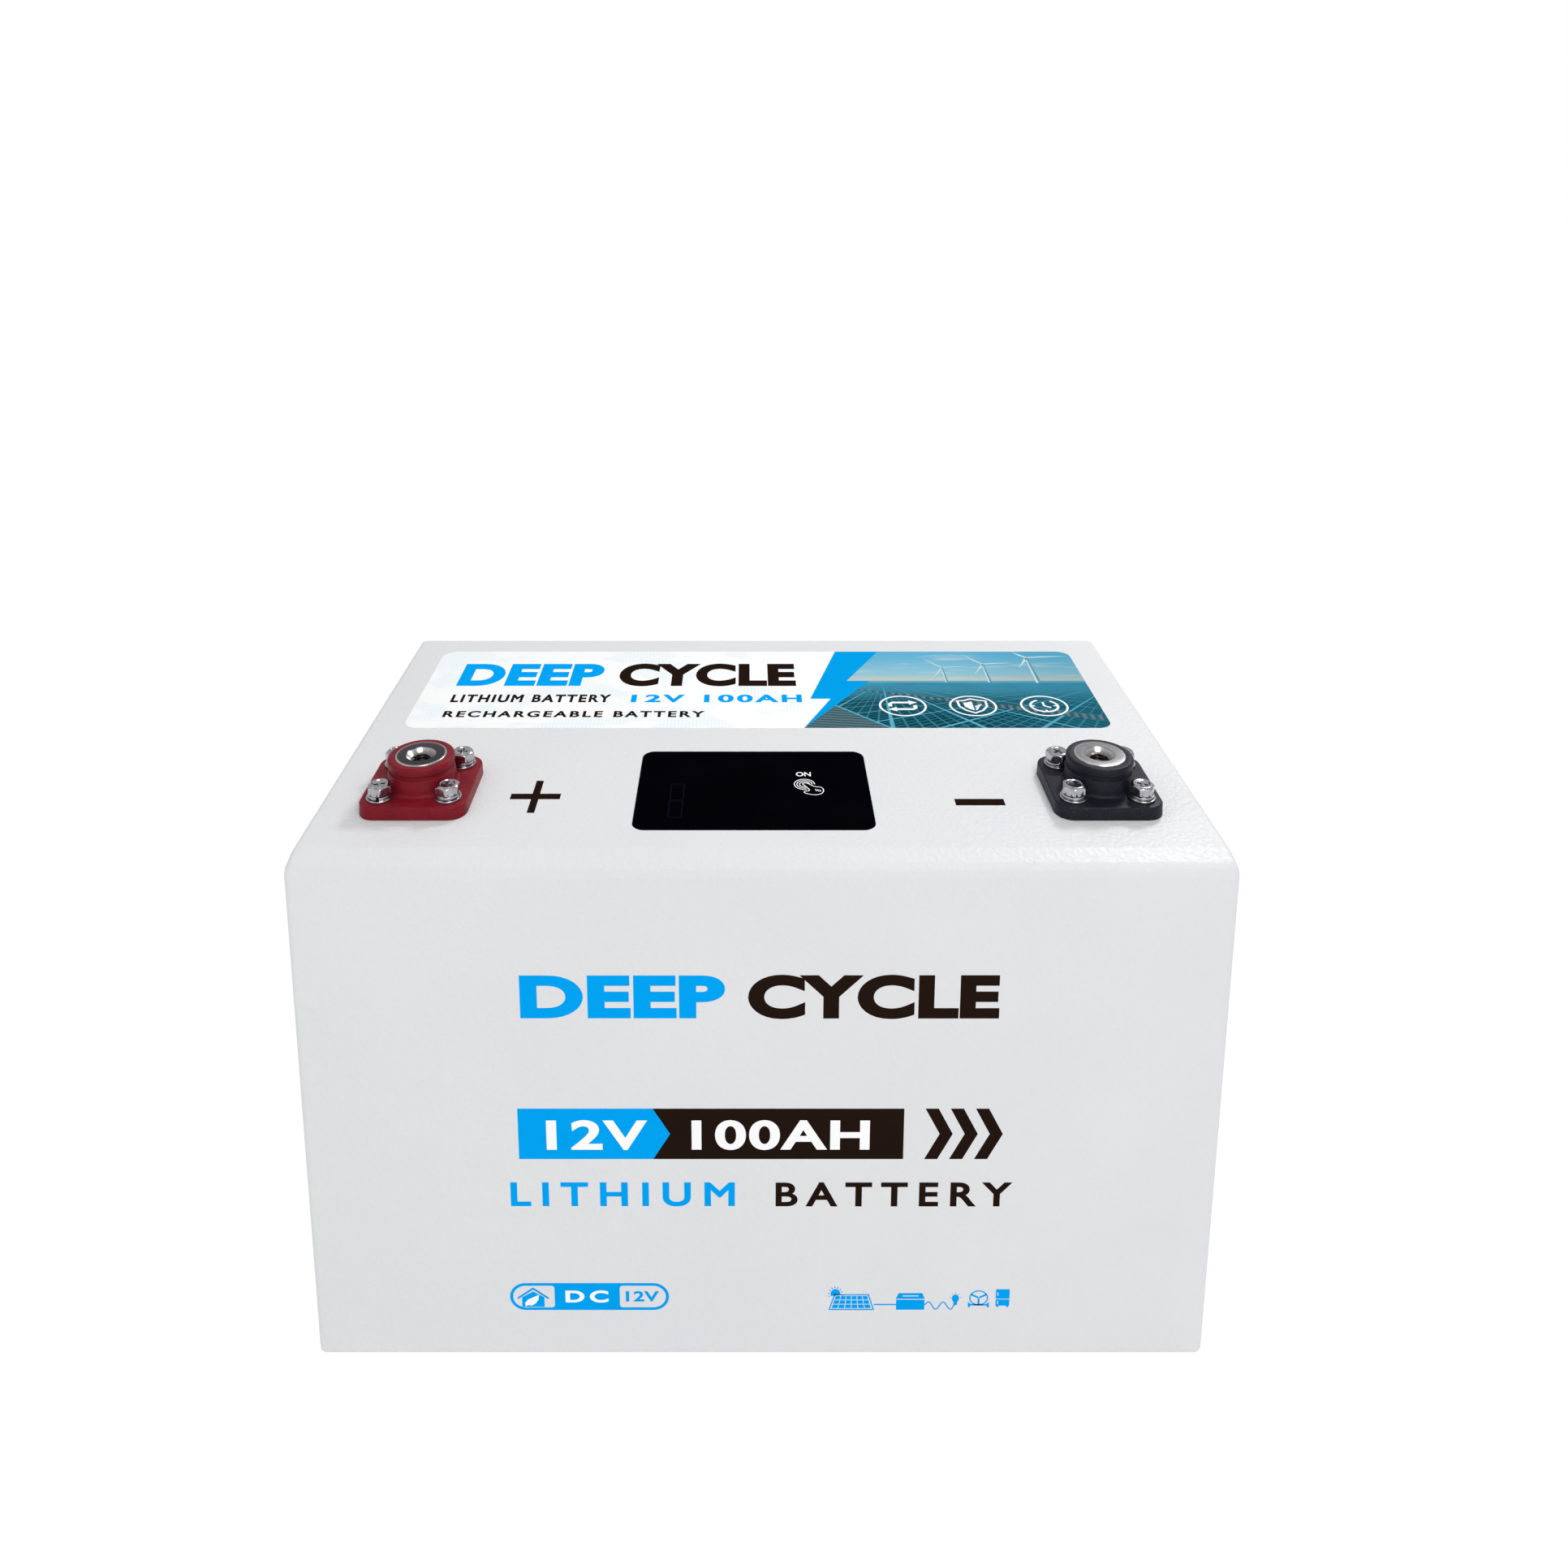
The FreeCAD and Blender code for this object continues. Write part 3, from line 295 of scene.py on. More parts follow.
def makeNickel():
    f = Finish("turnedNickel")
    x, y, z = f.axes()
    low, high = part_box("negative_terminal_insert")
    middle = (low + high) / 2
    across, along = abs(x) - middle.x, y - middle.y
    radius = (across * across + along * along).calc("SQRT")
    grain = f.noise(1900.0, 3.0, 0.65)
    edge, mouth, soft = nickel["faceEdge"], nickel["mouth"], nickel["soft"]
    # the positive face is coloured nearly black and the negative face a worn grainy grey, while the rims and the
    # mouth keep the plain bright nickel colour
    left = x.spread(0.001, -0.001)
    face = radius.spread(edge, edge - soft) * radius.spread(mouth - soft, mouth)
    colour = f.tint(f.noise(260.0, 3.0, 0.6).spread(0.38, 0.68, 0.0, 0.55), nickel["colour"], nickel["dark"])
    worn = left.spread(1.0, 0.0) * face * grain.spread(0.35, 0.62, 0.45, 1.0)
    colour = f.tint(left * face, f.tint(worn, colour, nickel["worn"]), nickel["positiveFaceDark"])
    # painted shade: inside the mouth's radius, the bore is tinted darker the deeper it goes below the mouth
    paintedBoreShade = z.spread(*(high.z - depth for depth in nickel["paintedBoreShadeFrom"])) * radius.spread(mouth, mouth - soft)
    return f.done(f.tint(paintedBoreShade, colour, nickel["paintedBoreShade"]), grain.spread(0.3, 0.7, *nickel["rough"]),
                  [((radius * nickel["ring"]).calc("SINE"), 0.10, 0.00002), (grain, 0.35, 0.00004)], nickel)


# zinc-plated screws and washers

zinc = {"colour": (0.54, 0.54, 0.56), "dark": (0.26, 0.26, 0.29), "rough": (0.07, 0.20), "metal": 1.0}


def makeZinc():
    f = Finish("brightZinc")
    scratch = f.noise(1400.0, 3.0, 0.7, (1.0, 6.0, 1.0))
    patch = f.noise(420.0, 3.0, 0.6)
    return f.done(f.tint(patch.spread(0.45, 0.75, 0.0, 0.6), zinc["colour"], zinc["dark"]),
                  scratch.spread(0.3, 0.7, *zinc["rough"]),
                  [(scratch, 0.12, 0.00003), (patch, 0.15, 0.00006)], zinc)


# the vinyl label: white with a very pale blue halftone over its left part

labelLook = {
    "white": (0.975, 0.978, 0.980),
    "pale": (0.70, 0.86, 0.93),
    "dotPitch": 1.55 * mm,
    "dotRadius": (0.50, 0.38),      # in dot pitches, where it fades and where it is full
    "patternEnd": (0.030, 0.010),
    "strength": 0.55,
    "rough": (0.289, 0.391),
    "specular": 0.30,
}


def makeLabelVinyl():
    look = labelLook
    f = Finish("labelVinyl")
    dot = f.cells(1.0 / look["dotPitch"], "F1", 0.0, (1.0, 1.0, 0.0)).spread(*look["dotRadius"])
    land = f.noise(30.0, 3.0, 0.55, (1.0, 1.5, 0.0)).spread(0.50, 0.56, 0.0, 1.0, True)
    side = f.axes()[0].spread(*look["patternEnd"], 0.0, 1.0, True)
    grain = f.noise(2200.0, 2.0)
    return f.done(f.tint(dot * land * (side * look["strength"]), look["white"], look["pale"]),
                  grain.spread(0.3, 0.7, *look["rough"]), [(grain, 0.08, 0.00003)], look)


# the label's artwork is drawn on its own sheet, in millimetres, and stretched to the label
sheetLow = (-151.0 * mm, 4.0 * mm)
sheetScale = ((labelHigh.x - labelLow.x) / (299.5 * mm), (labelHigh.y - labelLow.y) / (83.0 * mm))


def labelPlace(u, v):
    return labelLow.x + (u - sheetLow[0]) * sheetScale[0], labelLow.y + (v - sheetLow[1]) * sheetScale[1]


# the picture on the label: a field of solar panels under a hazy sky

picture = {
    "horizon": 50.7 * mm,
    "vanish": 84.0 * mm,
    "skyHigh": (0.12, 0.42, 0.62),
    "skyMiddle": (0.27, 0.52, 0.62),
    "haze": (0.52, 0.55, 0.48),
    "cloud": (0.60, 0.68, 0.64),
    "sea": (0.09, 0.36, 0.50),
    "near": (0.001, 0.046, 0.070),
    "far": (0.055, 0.300, 0.460),
    "frame": (0.12, 0.45, 0.58),
    "cell": (0.020, 0.135, 0.185),
    "roof": ((0.035, 0.085, 0.105), (0.105, 0.190, 0.215)),
    "gravel": ((0.03, 0.085, 0.105), (0.17, 0.19, 0.20)),
    "shade": (0.02, 0.17, 0.25),
    "turn": 31.0,           # how far the rows are turned from the view, degrees
    "panels": 2.1,          # panels across the picture at its near edge
    "cells": 6.0,           # cells along each panel
    "specular": 0.0,
}


def makePicture():
    look = picture
    f = Finish("labelPicture")
    x, y = [axis.calc("MULTIPLY_ADD", 1 / sheetScale[i], sheetLow[i] - labelLow[i] / sheetScale[i])
            for i, axis in enumerate(f.axes()[:2])]

    def line(value, count, width, soft):
        # 1 on the lines between counted cells, with the width as a share of a cell
        part = (value * count).calc("FRACT")
        return part.calc("MINIMUM", f.calc("SUBTRACT", 1.0, part)).spread(width + soft, width, 0.0, 1.0, True)

    # the ground, in perspective: everything runs to the horizon
    depth = f.calc("MAXIMUM", f.calc("SUBTRACT", look["horizon"], y), 0.0006)
    side = (x - look["vanish"]).calc("DIVIDE", depth)
    away = f.calc("DIVIDE", 0.047, depth)
    c, s = math.cos(math.radians(look["turn"])), math.sin(math.radians(look["turn"]))
    across, along = side * c + away * s, away * c - side * s
    fade = depth.spread(0.0008, 0.010, 0.0, 1.0, True)
    ground = f.tint(depth.spread(0.0, 0.020), look["far"], look["near"])
    patch = f.noise(60.0, 3.0, 0.6, (1.0, 2.0, 0.0))
    ground = f.tint(patch.spread(0.35, 0.7, 0.0, 0.35), ground, look["cell"])
    panels, cells = look["panels"], look["panels"] * look["cells"]
    small = line(across, cells / 1.5, 0.05, 0.07).calc("MAXIMUM", line(along, cells, 0.05, 0.07))
    large = line(across, panels / 1.5, 0.015, 0.02).calc("MAXIMUM", line(along, panels, 0.016, 0.022))
    ground = f.tint(small * (fade * 0.32), ground, look["frame"])
    ground = f.tint(large * (fade * 0.90), ground, look["frame"])

    # a ribbed roof in the near left corner, and a strip of gravel between two rows
    ribs = abs(((y + x * 0.12) * 420.0).calc("FRACT") - 0.5).spread(0.10, 0.38, 0.0, 1.0, True)
    edge = y + x * 1.02
    ground = f.tint(edge.spread(0.0598, 0.0590), ground, f.tint(ribs, *look["roof"]))
    ground = f.tint(abs(edge - 0.0600).spread(0.0009, 0.0003, 0.0, 0.9), ground, look["frame"])
    gap = abs(y + (x - 0.0452) * 0.285 - 0.0426)
    inGap = gap.calc("LESS_THAN", (x - 0.045) * 0.022 + 0.0005)
    strip = f.tint((x * 300.0).calc("FRACT").spread(0.45, 0.60), *look["gravel"])
    ground = f.tint(inGap * 0.85, ground, strip)

    # the sky over it
    rise = y - look["horizon"]
    heaven = f.tint(rise.spread(0.006, 0.034, 0.0, 1.0, True), look["skyMiddle"], look["skyHigh"])
    heaven = f.tint(rise.spread(0.010, 0.003, 0.0, 0.85, True), heaven, look["haze"])
    cloud = f.noise(75.0, 4.0, 0.55, (0.35, 2.6, 0.0))
    heaven = f.tint(cloud.spread(0.52, 0.70, 0.0, 0.45, True), heaven, look["cloud"])
    heaven = f.tint(rise.spread(0.0022, 0.0016, 0.0, 0.9), heaven, look["sea"])
    colour = f.tint(rise.spread(-0.0002, 0.0002), ground, heaven)
    colour = f.tint(x.spread(0.075, 0.150, 0.0, 0.30, True), colour, look["shade"])
    grain = f.noise(2200.0, 2.0)
    return f.done(colour, grain.spread(0.3, 0.7, 0.30, 0.42), [(grain, 0.08, 0.00003)], look)


# boards: solder mask with tracks under it, and woven glass fibre

def makeCircuitBoard():
    f = Finish("circuitBoard")
    track = f.cells(260.0, "DISTANCE_TO_EDGE").spread(0.06, 0.03, 0.0, 0.7)
    patch = f.noise(90.0)
    mask = f.tint(patch, (0.008, 0.105, 0.035), (0.014, 0.150, 0.055))
    return f.done(f.tint(track, mask, (0.035, 0.26, 0.11)), patch.spread(0.3, 0.7, 0.22, 0.34),
                  [(track, 0.4, 0.00004)], {})


def makeFibreBoard():
    f = Finish("fibreBoard")
    x, y, z = f.axes()
    warp, weft = ((x + z) * 3600.0).calc("SINE"), (y * 3600.0).calc("SINE")
    weave = (warp * weft).spread(-1.0, 1.0)
    resin = f.tint(f.noise(60.0), (0.34, 0.42, 0.17), (0.44, 0.52, 0.23))
    return f.done(f.tint(weave * 0.25, resin, (0.58, 0.63, 0.36)), weave.spread(0.0, 1.0, 0.42, 0.55),
                  [(weave, 0.25, 0.00004)], {})


def makeFoam():
    f = Finish("closedCellFoam")
    pores = f.cells(900.0)
    skin = f.tint(f.noise(50.0), (0.026, 0.026, 0.028), (0.042, 0.042, 0.045))
    return f.done(f.tint(pores.spread(0.15, 0.45), (0.012, 0.012, 0.013), skin),
                  pores.spread(0.0, 0.6, 0.80, 0.95), [(pores, 0.6, 0.0002)], {"specular": 0.25})


def makeCellSleeve():
    f = Finish("cellSleeve")
    crease = f.noise(120.0, 4.0, 0.6, (1.0, 1.0, 0.25))
    return f.done(f.tint(f.noise(18.0), (0.012, 0.085, 0.34), (0.022, 0.130, 0.46)),
                  crease.spread(0.3, 0.7, 0.20, 0.34), [(crease, 0.25, 0.0003)], {"coat": 0.3})


def plainFinish(name, look):
    # colour that drifts in patches, a grain in roughness and height, and a few specks
    f = Finish(name)
    patch = f.noise(look.get("patch", 40.0), 4.0, 0.6, look.get("stretch"))
    grain = f.noise(look["grain"], 2.0, 0.6, look.get("stretch"))
    change, rough = look.get("change", 0.08), look["rough"]
    darker = [value * (1.0 - change) for value in look["colour"]]
    lighter = [min(1.0, value * (1.0 + change)) for value in look["colour"]]
    colour = f.tint(patch.spread(0.35, 0.65), darker, lighter)
    if "specks" in look:
        colour = f.tint(grain.spread(0.58, 0.76, 0.0, look["speckAmount"]), colour, look["specks"])
    return f.done(colour, grain.spread(0.3, 0.7, rough * 0.85, min(1.0, rough * 1.15)),
                  [(grain, look["bump"], look.get("depth", 0.00008))], look)


# everything else is a plain finish with its own grain

def look(colour, rough, grain, bump, **more):
    # grain counts per metre; more is whatever differs from an even, dull, uncoated finish
    return {"colour": colour, "rough": rough, "grain": grain, "bump": bump, **more}


ink = {"patch": 60.0, "change": 0.02, "specular": 0.0}
paleInk = {"patch": 200.0, "change": 0.06, "specular": 0.16}

finishes = {
    "redNylon": look((0.195, 0.0070, 0.0165), 0.40, 1500.0, 0.45, patch=130.0, change=0.14, specular=0.14,
                     specks=(0.36, 0.06, 0.08), speckAmount=0.30),
    "blackNylon": look((0.0080, 0.0082, 0.0160), 0.46, 2000.0, 0.45, patch=130.0, change=0.20, specular=0.20,
                       specks=(0.060, 0.062, 0.080), speckAmount=0.70),
    "blueInk": look((0.001, 0.365, 0.885), 0.42, 1200.0, 0.06, **ink),
    "boltInk": look((0.001, 0.335, 0.770), 0.42, 1200.0, 0.06, **ink),
    "darkInk": look((0.0170, 0.0088, 0.0062), 0.46, 1200.0, 0.06, **{**ink, "change": 0.05}),
    "whiteInk": look((0.98, 0.98, 0.98), 0.42, 1200.0, 0.06, patch=60.0, change=0.01, specular=0.16),
    "turbineInk": look((0.48, 0.66, 0.72), 0.40, 1200.0, 0.05, **paleInk),
    "turbineShade": look((0.07, 0.25, 0.33), 0.40, 1200.0, 0.05, **paleInk),
    "windowGlass": look((0.0008, 0.0008, 0.0018), 0.30, 300.0, 0.02, patch=25.0, change=0.3, depth=0.00002,
                        specular=0.0, coat=0.010, coatRough=0.02),
    "segmentInk": look((0.006, 0.0065, 0.012), 0.30, 1200.0, 0.02, patch=200.0, change=0.1, specular=0.0),
    "steelBand": look((0.50, 0.51, 0.52), 0.30, 900.0, 0.12, metal=1.0, stretch=(0.2, 0.2, 4.0)),
    "sealRubber": look((0.022, 0.022, 0.023), 0.72, 1800.0, 0.30, specular=0.3),
    "screenGlass": look((0.016, 0.021, 0.026), 0.10, 400.0, 0.02),
    "blackMoulding": look((0.022, 0.022, 0.023), 0.52, 1700.0, 0.35, specular=0.4),
    "chipEpoxy": look((0.020, 0.020, 0.022), 0.62, 2400.0, 0.30, specular=0.4),
    "whiteNylon": look((0.70, 0.69, 0.64), 0.44, 1500.0, 0.15),
    "milledAluminium": look((0.72, 0.73, 0.74), 0.34, 1100.0, 0.15, metal=1.0, stretch=(0.15, 3.0, 1.0)),
    "tinnedCopper": look((0.66, 0.65, 0.62), 0.28, 1300.0, 0.18, metal=1.0),
    "machinedBrass": look((0.66, 0.49, 0.20), 0.26, 1100.0, 0.12, metal=1.0, stretch=(0.3, 3.0, 1.0)),
    "greyPad": look((0.30, 0.31, 0.33), 0.80, 1000.0, 0.35, specular=0.25),
    "blackTape": look((0.014, 0.014, 0.015), 0.70, 1500.0, 0.25, specular=0.25),
    "redCable": look((0.42, 0.012, 0.014), 0.44, 900.0, 0.12),
    "blackCable": look((0.015, 0.015, 0.016), 0.46, 900.0, 0.12),
    "greyRibbon": look((0.46, 0.47, 0.49), 0.42, 500.0, 0.35, stretch=(5.0, 0.2, 0.2), depth=0.00015),
}

materials = {name: plainFinish(name, look) for name, look in finishes.items()}
for make in (makePowderCoat, makeNickel, makeZinc, makeLabelVinyl, makePicture, makeCircuitBoard,
             makeFibreBoard, makeFoam, makeCellSleeve):
    made = make()
    materials[made.name] = made
print("materials made:", len(materials))

# the record's slot that each finish belongs to, and the CAD nodes that stay as they are in that finish
uses = {
    "powderCoat": ("powder_coat_white", "case_shell", "base_plate"),
    "brightZinc": ("zinc_screw", "base_screws", "base_clinch_nuts", "stud_washers", "stud_nuts",
                   "cell_bolts", "display_frame_nuts", "bms_screws", "bms_post_screws"),
    "labelVinyl": ("label_vinyl", "top_label"),
    "windowGlass": ("window_black", "display_window"),
    "blackTape": ("tape_black", "window_tape"),
    "redNylon": ("nylon_red", "positive_backing_plate"),
    "blackNylon": ("nylon_black", "negative_backing_plate"),
    "blackMoulding": ("moulding_black", "display_frame", "board_pillars"),
    "circuitBoard": ("circuit_board", "display_board", "bms_board"),
    "screenGlass": ("screen_glass", "lcd_module"),
    "greyRibbon": ("ribbon_grey", "display_ribbon"),
    "cellSleeve": ("cell_sleeve", "cell_1", "cell_2", "cell_3", "cell_4"),
    "milledAluminium": ("aluminium_part", "cell_posts", "cell_vents", "bms_heat_plate"),
    "fibreBoard": ("fibre_board", "end_board_left", "end_board_right", "support_board", "cover_board"),
    "steelBand": ("steel_band", "pack_straps"),
    "tinnedCopper": ("tinned_copper", "busbars", "sense_tags", "cable_lugs", "touch_spring"),
    "machinedBrass": ("plated_brass", "bms_posts", "bms_spacers"),
    "greyPad": ("pad_grey", "bms_heat_pad"),
    "chipEpoxy": ("chip_black", "bms_mosfets"),
    "whiteNylon": ("socket_white", "sense_socket"),
    "redCable": ("cable_red", "positive_cable", "sense_wires"),
    "blackCable": ("cable_black", "battery_negative_cable", "load_negative_cable"),
    "sealRubber": ("seal_rubber", "terminal_gaskets"),
    "turnedNickel": ("nickel_plate",),
    "closedCellFoam": ("foam_black",),
    "labelPicture": ("label_vinyl",),
    "turbineInk": ("label_vinyl",),
    "turbineShade": ("label_vinyl",),
    "segmentInk": ("window_black",),
    "blueInk": ("ink_blue",),
    "boltInk": ("ink_blue",),
    "darkInk": ("ink_dark",),
    "whiteInk": ("ink_white",),
}


def dress(piece, finish):
    piece.data.materials.clear()
    piece.data.materials.append(materials[finish])


for finish, (slot, *names) in uses.items():
    for name in names:
        dress(nodes[name], finish)
print("CAD nodes dressed:", sum(len(use) - 1 for use in uses.values()))


# shapes

def addPiece(name, points, faces, finish, replaced=(), sharp=35.0):
    mesh = bpy.data.meshes.new(name)
    mesh.from_pydata(points, [], faces)
    mesh.update()
    mesh.validate()
    for face in mesh.polygons:
        face.use_smooth = True
    mesh.set_sharp_from_angle(angle=math.radians(sharp))
    piece = bpy.data.objects.new(name, mesh)
    scene.collection.objects.link(piece)
    dress(piece, finish)
    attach(piece, "root")
    if replaced:
        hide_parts(*replaced)
    return piece


def joined(parts):
    points, faces = [], []
    for somePoints, someFaces in parts:
        start = len(points)
        points += somePoints
        faces += [tuple(start + i for i in face) for face in someFaces]
    return points, faces


def arc(u, v, radius, start, end, steps, tall=None):
    # points along an arc or an oval, between two angles in degrees
    tall = radius if tall is None else tall
    angles = [math.radians(start + (end - start) * i / steps) for i in range(steps + 1)]
    return [(u + radius * math.cos(angle), v + tall * math.sin(angle)) for angle in angles]


def boxLoop(u0, v0, u1, v1, corner=0.0, steps=6):
    if corner <= 0:
        return [(u0, v0), (u1, v0), (u1, v1), (u0, v1)]
    loop = []
    for u, v, start in ((u1 - corner, v1 - corner, 0), (u0 + corner, v1 - corner, 90),
                        (u0 + corner, v0 + corner, 180), (u1 - corner, v0 + corner, 270)):
        loop += arc(u, v, corner, start, start + 90, steps)
    return loop


def roundGrid(rows, steps, centre=(0.0, 0.0)):
    # rows run along a profile, each (radius, height) or a function of the angle that gives them,
    # and a radius of None closes the shape in a point
    points, faces, starts = [], [], []
    rows = [row if callable(row) else (lambda angle, row=row: row) for row in rows]
    closed = [row(0.0)[0] is None for row in rows]
    for row, pole in zip(rows, closed):
        starts.append(len(points))
        for i in range(1 if pole else steps):
            angle = 2 * math.pi * i / steps
            radius, height = row(angle)
            radius = radius or 0.0
            points.append((centre[0] + radius * math.cos(angle), centre[1] + radius * math.sin(angle), height))
    for n in range(len(rows) - 1):
        a, b = starts[n], starts[n + 1]
        for i in range(steps):
            j = (i + 1) % steps
            if closed[n]:
                faces.append((a, b + j, b + i))
            elif closed[n + 1]:
                faces.append((a + i, a + j, b))
            else:
                faces.append((a + i, a + j, b + j, b + i))
    return points, faces


def closedGrid(rows, steps, centre=(0.0, 0.0)):
    # the same, but the last row joins the first, as in a ring
    points, faces = roundGrid(list(rows) + [rows[0]], steps, centre)
    last = len(points) - steps
    return points[:last], [tuple(i - last if i >= last else i for i in face) for face in faces]


def workMesh(points, faces):
    mesh = bpy.data.meshes.new("work")
    mesh.from_pydata(points, [], faces)
    mesh.update()
    return mesh


def outward(points, faces):
    # turns the faces of a closed shape to look outward
    mesh = workMesh(points, faces)
    shape = bmesh.new()
    shape.from_mesh(mesh)
    bmesh.ops.recalc_face_normals(shape, faces=shape.faces)
    turned = [tuple(v.co) for v in shape.verts], [tuple(v.index for v in f.verts) for f in shape.faces]
    shape.free()
    bpy.data.meshes.remove(mesh)
    return turned


def cut(first, others):
    # closed shapes given as (points, faces), cut out of the first
    base = bpy.data.objects.new("work", workMesh(*outward(*first)))
    tools = [bpy.data.objects.new("tool", workMesh(*outward(*other))) for other in others]
    for item in [base] + tools:
        scene.collection.objects.link(item)
    for tool in tools:
        step = base.modifiers.new("step", "BOOLEAN")
        step.operation, step.solver, step.object = "DIFFERENCE", "EXACT", tool
    bpy.context.view_layer.update()
    mesh = bpy.data.meshes.new_from_object(base.evaluated_get(bpy.context.evaluated_depsgraph_get()))
    points, faces = [tuple(v.co) for v in mesh.vertices], [tuple(f.vertices) for f in mesh.polygons]
    for item in [base] + tools:
        bpy.data.objects.remove(item)
    return points, faces


def bandFaces(layers, count):
    # quads between rings of points, and a flat face at each end
    faces = []
    for n in range(layers - 1):
        for i in range(count):
            j = (i + 1) % count
            faces.append((n * count + i, n * count + j, (n + 1) * count + j, (n + 1) * count + i))
    last = (layers - 1) * count
    return faces + [tuple(reversed(range(count))), tuple(range(last, last + count))]


def stackedOutlines(layers):
    # each layer is a list of (x, y) points and a height
    points = [(x, y, height) for outline, height in layers for x, y in outline]
    return points, bandFaces(len(layers), len(layers[0][0]))


def rodShape(x, y, low, high, radius, steps):
    return roundGrid([(None, low), (radius, low), (radius, high), (None, high)], steps, (x, y))


def solidCentres(node):
    # the middle of each solid of a node, seen from above
    shape = bmesh.new()
    shape.from_mesh(nodes[node].data)
    bmesh.ops.remove_doubles(shape, verts=shape.verts, dist=1e-7)
    left = set(shape.verts)
    centres = []
    while left:
        todo = [left.pop()]
        island = list(todo)
        while todo:
            for vert in {vert for edge in todo.pop().link_edges for vert in edge.verts} & left:
                left.remove(vert)
                todo.append(vert)
                island.append(vert)
        centres.append(tuple((min(v.co[i] for v in island) + max(v.co[i] for v in island)) / 2 for i in (0, 1)))
    shape.free()
    return sorted(centres)


# terminal bases: a rounded nylon block with a grooved collar

terminalBase = {
    "thickness": 5.0 * mm,
    "corner": 6.5 * mm,
    "edge": 0.7 * mm,
    "foot": 0.25 * mm,          # small chamfer under the block
    "draft": 0.15 * mm,         # how much the block narrows towards its top
    "hollow": 1.3 * mm,         # where the collar meets the block
    "taper": 0.45 * mm,         # how much the collar narrows up to the groove
    "collarHeight": 15.8 * mm,
    "collarRadius": 12.4 * mm,
    "groove": (11.1 * mm, 12.7 * mm),
    "grooveDepth": 0.95 * mm,
    "lip": 0.35 * mm,
    "topEdge": 0.9 * mm,
    "boreEdge": 0.2 * mm,
    "boreRadius": 9.6 * mm,
    "ribRadius": 10.6 * mm,
    "rib": (7.0 * mm, 9.0 * mm),
    "screwHole": 2.75 * mm,
    "sealRadius": 14.2 * mm,
    "sealDepth": 1.0 * mm,
}
screwCentres = solidCentres("terminal_screws")


def collarShape(x, y, floor):
    b = terminalBase
    radius, lip, bore, edge = b["collarRadius"], b["lip"], b["boreRadius"], b["boreEdge"]
    low, high = (floor + height for height in b["groove"])
    ribLow, ribHigh = (floor + height for height in b["rib"])
    top, bed = floor + b["collarHeight"], floor + b["sealDepth"]
    foot = radius + b["taper"] + b["hollow"]
    inner = radius - b["grooveDepth"] + lip
    rows = [(bore, bed), (foot, bed)]
    rows += arc(foot, floor + b["thickness"] + b["hollow"], b["hollow"], 270, 180, 6)
    rows += arc(radius - lip, low - lip, lip, 0, 90, 3) + arc(inner, low + lip, lip, 250, 180, 2)
    rows += arc(inner, high - lip, lip, 180, 110, 2) + arc(radius - lip, high + lip, lip, 270, 360, 3)
    rows += arc(radius - b["topEdge"], top - b["topEdge"], b["topEdge"], 0, 90, 5)
    rows += arc(bore + edge, top - edge, edge, 90, 180, 2)
    rows += [(bore, ribHigh), (b["ribRadius"], ribHigh), (b["ribRadius"], ribLow), (bore, ribLow)]
    return outward(*closedGrid(rows, 128, (x, y)))


def makeTerminalBase(name, node, finish):
    b = terminalBase
    low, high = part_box(node)
    x, y = (low.x + high.x) / 2, (low.y + high.y) / 2
    half = (high.x - low.x) / 2
    floor, top = low.z, low.z + b["thickness"]

    def outline(inset):
        reach = half - inset
        return [(x + px, y + py) for px, py in boxLoop(-reach, -reach, reach, reach, b["corner"] - inset, 8)]

    layers = [(outline(b["foot"]), floor), (outline(0.0), floor + b["foot"])]
    layers += [(outline(b["draft"] + inset), height)
               for inset, height in arc(b["edge"], top - b["edge"], b["edge"], 180, 90, 4)]
    foot = b["collarRadius"] + b["taper"] + b["hollow"]
    cutters = [rodShape(x, y, floor - mm, top + mm, foot, 128),
               rodShape(x, y, floor - mm, floor + b["sealDepth"], b["sealRadius"], 128)]
    cutters += [rodShape(sx, sy, floor - mm, top + mm, b["screwHole"], 32)
                for sx, sy in screwCentres if abs(sx - x) < half]
    block = cut(stackedOutlines(layers), cutters)
    addPiece(name, *joined([block, collarShape(x, y, floor)]), finish, [node], 32.0)


makeTerminalBase("redTerminalBase", "positive_terminal_base", "redNylon")
makeTerminalBase("blackTerminalBase", "negative_terminal_base", "blackNylon")
print("terminal bases made")


# the tapped inserts: a turned face, a countersunk mouth and a real M8 thread

insert = {
    "radius": 9.6 * mm,
    "rim": 0.45 * mm,           # bright chamfer round the face
    "ribRadius": 10.6 * mm,
    "rib": (7.0 * mm, 9.0 * mm),    # over the case's top
    "mouth": 5.6 * mm,
    "mouthDepth": 2.0 * mm,
    "bore": 3.4 * mm,
    "threadDepth": 14.0 * mm,
    "pitch": 1.25 * mm,
    "threadHeight": 0.62 * mm,
    "rowsPerTurn": 8,
    "stud": 4.0 * mm,
    "studLength": 16.0 * mm,
    "studTip": 0.6 * mm,
}


def threadRow(height, radius, reach, pitch):
    # a row of a helical thread: the radius swings by reach as the angle turns
    def row(angle):
        part = (height / pitch - angle / (2 * math.pi)) % 1.0
        return radius + reach * min(1.0, max(0.0, 1.15 - abs(part * 2 - 1) * 1.3)), height
    return row


